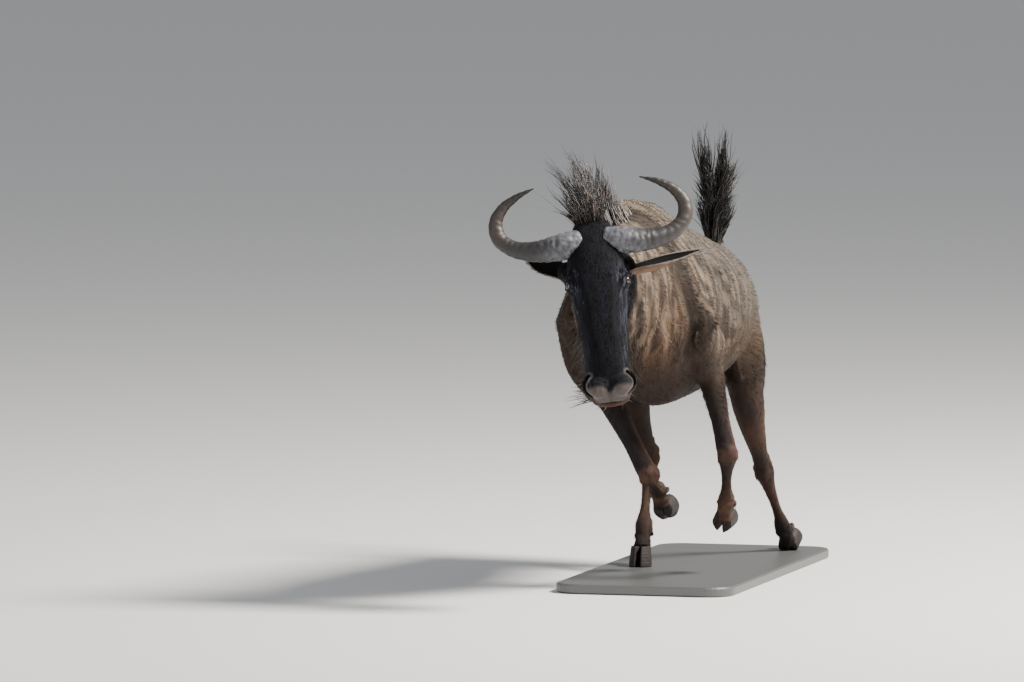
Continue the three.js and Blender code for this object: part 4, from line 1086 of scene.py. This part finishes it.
def mane(count, seed):
    rng = np.random.default_rng(seed)
    along = rng.uniform(0, 1, count) ** 0.5
    t = MANE_START + MANE_SPAN * along
    roots, out = neck_ring(t, rng.normal(0, 0.13, count))
    row = np.minimum(along * MANE_ROWS, MANE_ROWS - 1).astype(int)
    lock = row * LOCKS_A_ROW + rng.integers(0, LOCKS_A_ROW, count)
    number = MANE_ROWS * LOCKS_A_ROW
    start = MANE_START + MANE_SPAN * (np.arange(number) // LOCKS_A_ROW + 0.5) / MANE_ROWS
    size = smooth_rows([[0.18, 30], [0.35, 45], [0.52, 70], [0.64, 150], [0.78, 285],
                        [0.9, 315], [1, 265]], start)[:, 0] / 1000
    ways = np.array([-0.37, 0.10, 1.0]) + rng.normal(0, 1, (number, 3)) * (0.065, 0.08, 0)
    reach = size * rng.uniform(0.55, 1.0, number)
    toward, length = gathered(rng, roots, lock, ways, reach, 0.011)
    bend = ((rng.normal(0, 1, (number, 3)) * (0.08, 0.10, 0.04) + (0.03, 0.02, -0.07))[lock]
            + rng.normal(0, 0.035, (count, 3)))
    length = length * rng.uniform(0.55, 1.0, count)
    colour, tip = strand_colours(rng, count, "#161314", "#6f6a66", 0.30, "#55535a")
    crest = (t + rng.normal(0, 0.05, count) < 0.55)[:, None]
    colour = np.where(crest, linear("#7a6f63") * rng.uniform(0.4, 1.2, (count, 1)), colour)
    tip = np.where(crest, colour * 1.2, tip)
    rust = (np.abs(t - 0.72) < 0.1) & (rng.random(count) < 0.35)
    colour[rust] = linear("#553828") * rng.uniform(0.6, 1.3, (rust.sum(), 1))
    strands(rng, "mane", roots - out * 0.012, toward, bend, length, (0.0028, 0.0065), 7,
            (colour, tip), 0.035, seed)


mane(3000, 11)


# Throat, chin and crown: black beard hair blown back under the neck and the jaw,
# and short black hair between the horns, in locks rooted just under the skin.
def throat(count, seed):
    rng = np.random.default_rng(seed)
    t = rng.uniform(0.5, 0.99, count)
    roots, out = neck_ring(t, math.pi + rng.normal(0, 0.30, count))
    toward = np.column_stack([rng.normal(-0.15, 0.18, count), rng.uniform(0.15, 0.6, count),
                              -np.ones(count)]) + out * 0.3
    bend = np.column_stack([rng.normal(-0.10, 0.14, count), rng.uniform(0.0, 0.35, count),
                            rng.normal(0.05, 0.1, count)])
    length = 0.150 * rng.uniform(0.4, 1.15, count)
    colour, tip = strand_colours(rng, count, "#1c1715", "#5a4a3e", 0.14)
    rust = rng.random(count) < 0.12
    colour[rust] = linear("#4e3021")
    strands(rng, "throat", roots - out * 0.010, toward, bend, length, (0.0025, 0.0055), 6,
            (colour, tip), 0.05, seed)


def chin_and_crown(seed):
    rng = np.random.default_rng(seed)
    turn = np.array(HEAD_FRAME.to_3x3())
    sets = []
    count = 760
    roots = np.column_stack([rng.uniform(-0.036, 0.036, count), rng.uniform(0.026, 0.040, count),
                             -0.505 + 0.24 * rng.random(count) ** 1.6])
    toward = np.column_stack([roots[:, 0] * 16 - 0.25, np.ones(count),
                              rng.uniform(-0.3, 0.25, count)])
    length = (0.030 + 0.080 * ease(-roots[:, 2], 0.38, 0.46)) * rng.uniform(0.4, 1.2, count)
    sets.append(("chin", roots, toward, (-0.12, 0.0, 0.12), length))
    count = 1100
    rear = rng.uniform(0, 1, count)
    roots = np.column_stack([rng.uniform(-0.030, 0.030, count), -0.020 + 0.115 * rear,
                             rng.uniform(0.006, 0.022, count)])
    toward = np.column_stack([roots[:, 0] * 9 - 0.15 * rear, rng.normal(0.0, 0.2, count),
                              np.ones(count)])
    length = (0.060 + 0.110 * rear**1.5) * rng.uniform(0.45, 1.15, count)
    sets.append(("crown", roots, toward, (-0.10, -0.10, -0.1), length))
    for name, roots, toward, bend, length in sets:
        count = len(roots)
        colour, tip = strand_colours(rng, count, "#191515", "#6a5a50", 0.12)
        place = roots @ turn.T + np.array(HEAD_AT) + shift
        toward = (toward + rng.normal(0, 0.12, (count, 3))) @ turn.T
        bend = (np.array(bend) + rng.normal(0, 0.14, (count, 3))) @ turn.T
        strands(rng, name, place, toward, bend, length, (0.0025, 0.0055), 5, (colour, tip),
                0.05, seed)


throat(900, 23)
chin_and_crown(37)


# Tail: black hair on the bony dock, flung straight up by the gallop. It is drawn
# into pointed locks, two of them much longer than the rest.
TAIL_SECTORS = 12       # round the dock, with a low and a high lock in each


def tail_tuft(count, seed):
    rng = np.random.default_rng(seed)
    t = rng.uniform(0.30, 1.0, count)
    centre, _, fore, side, size = sections(TAIL_PATH, TAIL_ROWS, TAIL_FRONT, 60)
    i = np.clip(np.round(t * 59).astype(int), 0, 59)
    angle = rng.uniform(0, math.tau, count)
    out = np.cos(angle)[:, None] * fore[i] + np.sin(angle)[:, None] * side[i]
    roots = centre[i] + out * (size[i, 1] * 0.7)[:, None] + shift
    lock = (angle / math.tau * TAIL_SECTORS).astype(int) * 2 + (t > 0.65)
    number = TAIL_SECTORS * 2
    mid_angle = (np.arange(number) // 2 + 0.5) / TAIL_SECTORS * math.tau
    ways = np.column_stack([-np.sin(mid_angle) * 0.20, np.cos(mid_angle) * 0.18, np.ones(number)])
    ways += rng.normal(0, 1, (number, 3)) * (0.10, 0.09, 0)
    reach = rng.uniform(0.11, 0.20, number)
    curl = rng.normal(0, 1, (number, 3)) * (0.20, 0.16, 0.03) + (0.05, 0, -0.12)
    for k, lean_out in ((7, -0.16), (17, 0.22)):
        ways[k], reach[k], curl[k] = (lean_out, 0.0, 1.0), 0.29, (-0.4 * lean_out, 0.0, -0.05)
    toward, length = gathered(rng, roots, lock, ways, reach, 0.012)
    bend = curl[lock] + rng.normal(0, 0.05, (count, 3))
    length = length * rng.uniform(0.55, 1.0, count)
    colour, tip = strand_colours(rng, count, "#161313", "#4a4440", 0.10)
    strands(rng, "tuft", roots, toward, bend, length, (0.0032, 0.0075), 8, (colour, tip), 0.06,
            seed)


tail_tuft(1900, 53)


# Horns: black-brown horn over bony cores. They leave rough, swollen, silvery
# bosses, dip outwards and hook up and in to smooth dark tips.
HORN_PATH = [[26, -14, -30], [84, -20, -44], [140, -14, -50], [192, -4, -46], [244, 6, -28],
             [282, 12, 10], [286, 10, 58], [262, 4, 96], [216, -4, 126], [160, -12, 146]]
HORN_ROWS = [[0, 36, 34, 34], [0.12, 42, 41, 42], [0.3, 34, 33, 33], [0.45, 27, 26, 26],
             [0.62, 24, 22, 22], [0.78, 17, 16, 16], [0.9, 10, 10, 10], [1, 3, 3, 3]]


def horn_material():
    material, tree, surface = coat_material("dull ridged horn")
    where = add_node(tree, "ShaderNodeTexCoord").outputs["Object"]
    grain = add_node(tree, "ShaderNodeTexNoise", None,
                     {"Vector": where, "Scale": 260.0, "Detail": 4.0}).outputs["Fac"]
    add_bump(tree, surface, grain, 0.35, 0.0015)
    surface.inputs["Roughness"].default_value = 0.5
    return material


def horn(side, material):
    steps, sides = 150, 44
    path = np.array(HORN_PATH) / 1000 * (side, 1, 1)
    centre, _, fore, across, size = sections(path, HORN_ROWS, (0, -1, 0.1), steps)
    angle = np.arange(sides) / sides * math.tau
    t = np.linspace(0, 1, steps)
    ring = (np.cos(angle)[None, :, None] * fore[:, None]
            + np.sin(angle)[None, :, None] * across[:, None])
    deep = np.where(np.cos(angle)[None] > 0, size[:, 1:2], size[:, 2:3])
    radius = np.hypot(np.cos(angle)[None] * deep, np.sin(angle)[None] * size[:, :1]) - 0.0015
    boss = 1 - ease(t, 0.16, 0.42)
    flat = (centre[:, None] + ring * radius[..., None]).reshape(-1, 3)
    lumps = blur_noise(flat, 0.011, 7).reshape(steps, sides) - 0.5
    pits = blur_noise(flat, 0.004, 8).reshape(steps, sides) - 0.5
    furrow = np.sin(t * 130 + 7 * blur_noise(flat, 0.03, 9).reshape(steps, sides).T).T
    radius += boss[:, None] * (lumps * 0.005 + pits * 0.0030 + furrow * 0.0006)
    radius += (1 - boss)[:, None] * (furrow * 0.0005 + pits * 0.0005)
    radius *= np.sqrt(1 - (1 - np.minimum(t / 0.035, 1)) ** 2 * 0.96)[:, None]
    radius[-1] = 0.0015
    points, faces = closed_rings(centre[:, None] + ring * radius[..., None])
    points = placed(points, HEAD_FRAME) + shift
    name = "horn_left" if side > 0 else "horn_right"
    made = mesh_object(f"{name}_render", points, faces)
    along = np.concatenate([np.repeat(t, sides), [0, 1]])
    worn = np.concatenate([((lumps + pits) * 0.5 + 0.5).ravel(), [0.5, 0.5]])
    colour = blend(plain("#2b2a2e", len(points)), "#73737b", worn)
    colour = blend(colour, "#2b282a", ease(along, 0.12, 0.32))
    colour = blend(colour, "#3c332f", ease(along, 0.40, 0.62))
    colour = blend(colour, "#1f1c1b", ease(along, 0.68, 0.92))
    store_colour(made.data, colour * (0.65 + 0.6 * worn)[:, None])
    made.data.materials.append(material)
    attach(made, "root")
    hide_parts(name)
    face_outward(made)


horn_surface = horn_material()
for side in (-1, 1):
    horn(side, horn_surface)


# Ears: thin cups of gristle and hide, pointed, held out level behind the horns,
# with black insides and a pale fringe along their edges.
EAR_ROWS = [[0, 20, 20, 9], [0.12, 26, 26, 7], [0.35, 36, 26, 5], [0.6, 36, 18, 4],
            [0.82, 22, 10, 3.5], [1, 6, 5, 2.5]]
EARS = {
    "left": dict(root=(96, 62, -116), tip=(318, 96, -76), open=(-0.2, -0.62, 1.0)),
    "right": dict(root=(-96, 70, -112), tip=(-214, 168, 6), open=(-0.2, -1, 0.25)),
}


def ear(name, spec, material):
    root, tip = np.array(spec["root"]) / 1000, np.array(spec["tip"]) / 1000
    along = unit(tip - root)
    mouth = np.array(spec["open"], float)
    mouth = unit(mouth - along * (mouth @ along))
    across = np.cross(along, mouth)
    steps, half = 40, 14
    t = np.linspace(0, 1, steps)
    size = smooth_rows(EAR_ROWS, t) / 1000
    angle = np.linspace(0, math.pi, half + 1)
    rings = []
    for i in range(steps):
        wide, deep, wall = size[i] - (0.001, 0.001, 0)
        centre = root + along * np.linalg.norm(tip - root) * t[i]
        out = [centre + across * math.cos(a) * wide - mouth * math.sin(a) * deep for a in angle]
        back = [centre + across * math.cos(a) * (wide - wall * 0.75)
                - mouth * math.sin(a) * (deep - wall * 0.75) for a in angle[::-1]]
        rings.append(out + back)
    rings = np.array(rings)
    count = rings.shape[1]
    points = rings.reshape(-1, 3)
    faces = ring_faces(steps, count)[:(steps - 1) * count]
    last = (steps - 1) * count
    for k in range(half):
        faces.append((k, count - 1 - k, count - 2 - k, k + 1))
        faces.append((last + k, last + k + 1, last + count - 2 - k, last + count - 1 - k))
    points = placed(points, HEAD_FRAME) + shift
    made = mesh_object(f"ear_{name}_render", points, faces)
    inside = np.tile([0.0] * (half + 1) + [1.0] * (half + 1), steps)
    colour = blend(plain("#7a6152", len(points)), "#0d0b0c", inside)
    store_colour(made.data, colour * (0.8 + 0.4 * blur_noise(points, 0.008, 3))[:, None])
    store_down(made.data, points)
    made.data.materials.append(material)
    face_outward(made)
    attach(made, "root")
    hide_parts(f"ear_{name}")
    rng = np.random.default_rng(61)
    number = 900
    i = rng.integers(1, steps - 1, number)
    edge = rng.random(number) < 0.5
    k = np.where(edge, np.where(rng.random(number) < 0.5, 0, half), rng.integers(0, half, number))
    world = placed(rings, HEAD_FRAME) + shift
    roots = world[i, k]
    out = unit(world[i, k] - world[i].mean(1))
    way = np.array(HEAD_FRAME.to_3x3() @ Vector(along))
    toward = way + out * np.where(edge, 0.35, 0.12)[:, None] + rng.normal(0, 0.1, (number, 3))
    colour = np.where(edge[:, None], linear("#8c8177"), linear("#5b473b"))
    colour = colour * rng.uniform(0.5, 1.1, number)[:, None]
    blades(f"ear_hair_{name}", roots - out * 0.001, toward, -out * 0.1, np.cross(out, toward),
           rng.uniform(0.010, 0.024, number), rng.uniform(0.0014, 0.0026, number), 0.4, 3, colour,
           colour, mane_hair, "ear_hide", seed=61)


ear_hide = short_fur()
for name, spec in EARS.items():
    ear(name, spec, ear_hide)


# Eyes: dark brown balls, wet, with a long level pupil, held in thick black lids.
def eye_material():
    material, _, surface = coat_material("wet eye")
    surface.inputs["Roughness"].default_value = 0.12
    surface.inputs["Coat Weight"].default_value = 1.0
    surface.inputs["Coat Roughness"].default_value = 0.02
    return material


def eye(side, material):
    look, up, ahead = eye_axes(side)
    lat, local = globe(0.004, 60)
    dome = 1 + 0.06 * (1 - ease(lat, 0.35, 0.6))
    rings = local * (EYE_RADIUS - 0.0006) * dome[:, None, None]
    points, faces = closed_rings(rings)
    at_eye = points @ np.stack([ahead, up, look]) + side_of(EYE_AT, side)
    name = "eye_left" if side > 0 else "eye_right"
    made = mesh_object(f"{name}_render", placed(at_eye, HEAD_FRAME) + shift, faces)
    a, b, c = (points / EYE_RADIUS).T
    ring = np.hypot(a, b)
    colour = plain("#2a211c", len(points))
    colour = blend(colour, "#4a2c16", 1 - ease(ring, 0.60, 0.68))
    colour = blend(colour, "#241409", 1 - ease(ring, 0.30, 0.55))
    pupil = np.hypot(a / 0.42, b / 0.20)
    colour = blend(colour, "#040405", 1 - ease(pupil, 0.9, 1.05))
    colour = blend(colour, "#241409", (c < 0).astype(float))
    store_colour(made.data, colour)
    made.data.materials.append(material)
    face_outward(made)
    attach(made, "root")
    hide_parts(name)


eye_surface = eye_material()
for side in (-1, 1):
    eye(side, eye_surface)


# Eyelids: thick black rims of bare skin round each eye, with long coarse lashes
# along the upper one that stand out and droop.
def eyelids(side, material):
    name = "left" if side > 0 else "right"
    look, up, ahead = eye_axes(side)
    head_turn = np.array(HEAD_FRAME)[:3, :3].T
    points, faces, start = [], [], 0
    for lift, thick in ((0.60, 0.0032), (-0.52, 0.0026)):
        steps = 40
        angle = np.linspace(-0.06, math.pi + 0.06, steps)
        a = np.cos(angle) * EYE_RADIUS * 0.93
        u = np.sin(angle) * EYE_RADIUS * lift
        depth = np.sqrt(np.maximum(EYE_RADIUS**2 - a**2 - u**2, 0.00002)) + 0.0004
        path = side_of(EYE_AT, side) + a[:, None] * ahead + u[:, None] * up + depth[:, None] * look
        axis = unit(np.gradient(path, axis=0))
        out = unit(path - side_of(EYE_AT, side))
        across = np.cross(axis, out)
        k = np.arange(12) / 12 * math.tau
        size = thick * (0.55 + 0.45 * np.sin(np.clip(angle, 0, math.pi)))
        rings = path[:, None] + size[:, None, None] * (
            np.cos(k)[None, :, None] * out[:, None] + np.sin(k)[None, :, None] * across[:, None])
        part, part_faces = closed_rings(rings)
        points.append(part)
        faces += [tuple(i + start for i in face) for face in part_faces]
        start += len(part)
        if lift > 0:
            rng = np.random.default_rng(71)
            count = 110
            i = rng.integers(4, steps - 4, count)
            roots = path[i] + out[i] * 0.001
            toward = out[i] + up * 0.55 + rng.normal(0, 0.16, (count, 3))
            bend = -up * 0.30 + ahead * -0.12 + rng.normal(0, 0.08, (count, 3))
            tone = plain("#0c0a0a", count)
            blades(f"lash_{name}", placed(roots, HEAD_FRAME) + shift, toward @ head_turn,
                   bend @ head_turn, np.repeat([[0.0, 0.2, 1.0]], count, 0),
                   rng.uniform(0.014, 0.027, count), rng.uniform(0.0012, 0.002, count), 0.6, 5,
                   tone, tone, mane_hair, "face_hide", seed=71)
    made = mesh_object(f"lids_{name}", placed(np.vstack(points), HEAD_FRAME) + shift, faces)
    made.data.materials.append(material)
    face_outward(made)
    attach(made, "root")


lid_skin, _, lid_shade = new_material("bare black skin")
lid_shade.inputs["Base Color"].default_value = (*linear("#100d0e"), 1)
lid_shade.inputs["Roughness"].default_value = 0.38
for side in (-1, 1):
    eyelids(side, lid_skin)


# Claws: two hooves of dark, dull horn to each foot, flat walled where they face
# each other, with faint growth rings; two small dewclaws hang behind.
CLAW_LENGTH, CLAW_WIDTH, CLAW_HEIGHT, CLAW_SPLIT, CLAW_ROOT = 0.074, 0.034, 0.062, 0.004, -0.006


def hoof_material():
    material, tree, surface = new_material("dull hoof horn")
    where = add_node(tree, "ShaderNodeTexCoord").outputs["Object"]
    worn = add_node(tree, "ShaderNodeTexNoise", None,
                    {"Vector": where, "Scale": 70.0, "Detail": 5.0}).outputs["Fac"]
    ramp = add_node(tree, "ShaderNodeMix", {"data_type": "RGBA"},
                    {0: worn, 6: (*linear("#131317"), 1), 7: (*linear("#3b332f"), 1)})
    tree.links.new(ramp.outputs[2], surface.inputs["Base Color"])
    add_bump(tree, surface, worn, 0.4, 0.002)
    surface.inputs["Roughness"].default_value = 0.62
    surface.inputs["Specular IOR Level"].default_value = 0.3
    return material


def claw(leg, sign, node, material):
    toe, sole, across = foot_axes(leg)
    levels, count = 30, 56
    angle = np.arange(count) / count * math.tau
    rise = np.linspace(0, 1, levels)
    long = smooth_rows([[0, 1, 1], [0.5, 0.95, 0.94], [1, 0.80, 0.84]], rise)
    rings = []
    for r, (stretch, wide) in zip(rise, long):
        c, s = np.cos(angle), np.sin(angle)
        taper = np.where(c > 0, 1 - 0.5 * c * c, 1)
        s = s * taper
        inner = np.where(s < 0, 0.35, 1)
        ripple = 1 + 0.008 * math.sin(r * 40) - 0.05 * max(0, 0.08 - r) / 0.08
        length = CLAW_LENGTH * (0.5 * c * stretch * ripple - 0.1 * r + 0.28)
        width = CLAW_SPLIT / 2 + CLAW_WIDTH * (0.26 + s * inner * 0.74) * wide * ripple
        rings.append(np.array(leg["foot"]) + length[:, None] * toe
                     + (sign * width)[:, None] * across
                     + sole * (CLAW_HEIGHT * (1 - r) + CLAW_ROOT))
    points, faces = closed_rings(np.array(rings))
    points[:, 2] = np.maximum(points[:, 2], 0.0003)
    made = mesh_object(f"{node}_render", points + shift, faces)
    made.data.materials.append(material)
    face_outward(made)
    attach(made, "root")
    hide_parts(node)


DEWCLAW = 0.011, 0.011, 0.013       # half sizes


def dewclaw_pair(leg, name, material):
    toe, sole, across = foot_axes(leg)
    rear = -toe if leg["sole"][2] < -0.5 else sole
    middle = mix(leg["fetlock"], leg["foot"], 0.2)
    for sign in (-1, 1):
        at = middle + across * sign * 0.016 + rear * 0.027
        points, faces = closed_rings(globe(0.05, 20)[1] * DEWCLAW)
        axes = np.stack([across, unit(np.cross(sole + toe, across)), unit(sole * 0.6 + rear)])
        made = mesh_object(f"dewclaw_{name}_{'a' if sign > 0 else 'b'}",
                           points @ axes + at + shift, faces)
        made.data.materials.append(material)
        face_outward(made)
        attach(made, "root")


hoof_horn = hoof_material()
for pair, legs in (("fore", FORE), ("hind", HIND)):
    for side, leg in legs.items():
        claw(leg, 1, f"{pair}_{side}_claw_a", hoof_horn)
        claw(leg, -1, f"{pair}_{side}_claw_b", hoof_horn)
        dewclaw_pair(leg, f"{pair}_{side}", hoof_horn)


# Camera: a long lens a little to the animal's left and a little above it, so
# that the picture is nearly flat, as the photograph is.
VIEW_TURN, VIEW_RISE = math.radians(15), math.radians(4.4)
VIEW_WIDTH, VIEW_DISTANCE, SENSOR = 3.17, 35.0, 36.0
VIEW_RIGHT, VIEW_UP = -0.490, 0.710     # from the animal's origin to the middle of the picture
right = Vector((math.cos(VIEW_TURN), math.sin(VIEW_TURN), 0))
back = Vector((math.sin(VIEW_TURN) * math.cos(VIEW_RISE),
               -math.cos(VIEW_TURN) * math.cos(VIEW_RISE), math.sin(VIEW_RISE)))
up = back.cross(right)
aim = ORIGIN + right * VIEW_RIGHT + up * VIEW_UP
lens = bpy.data.cameras.new("camera")
lens.lens = SENSOR * VIEW_DISTANCE / VIEW_WIDTH
lens.sensor_width = SENSOR
lens.clip_end = 200
camera = bpy.data.objects.new("camera", lens)
bpy.context.scene.collection.objects.link(camera)
camera.matrix_world = Matrix.Translation(aim + back * VIEW_DISTANCE) @ Matrix(
    (right, up, back)).transposed().to_4x4()
bpy.context.scene.camera = camera

floor = mesh_object("floor", [(-40, -60, 0), (40, -60, 0), (40, 60, 0), (-40, 60, 0)],
                    [(0, 1, 2, 3)], smooth=False)


def area_light(name, at, size, power, colour=(1, 1, 1)):
    light = bpy.data.lights.new(name, "AREA")
    light.size = size
    light.energy = power
    light.color = colour
    obj = bpy.data.objects.new(name, light)
    bpy.context.scene.collection.objects.link(obj)
    obj.location = at
    obj.rotation_euler = (aim - Vector(at)).to_track_quat("-Z", "Y").to_euler()


area_light("key", (5.5, 0.2, 6.5), 2.0, 2050, (1.0, 0.95, 0.87))
area_light("fill", (-4.0, -7.0, 3.5), 5.0, 130)
world = bpy.data.worlds.new("studio")
world.use_nodes = True
world.node_tree.nodes["Background"].inputs["Color"].default_value = (0.85, 0.87, 0.9, 1)
world.node_tree.nodes["Background"].inputs["Strength"].default_value = 0.43
bpy.context.scene.world = world
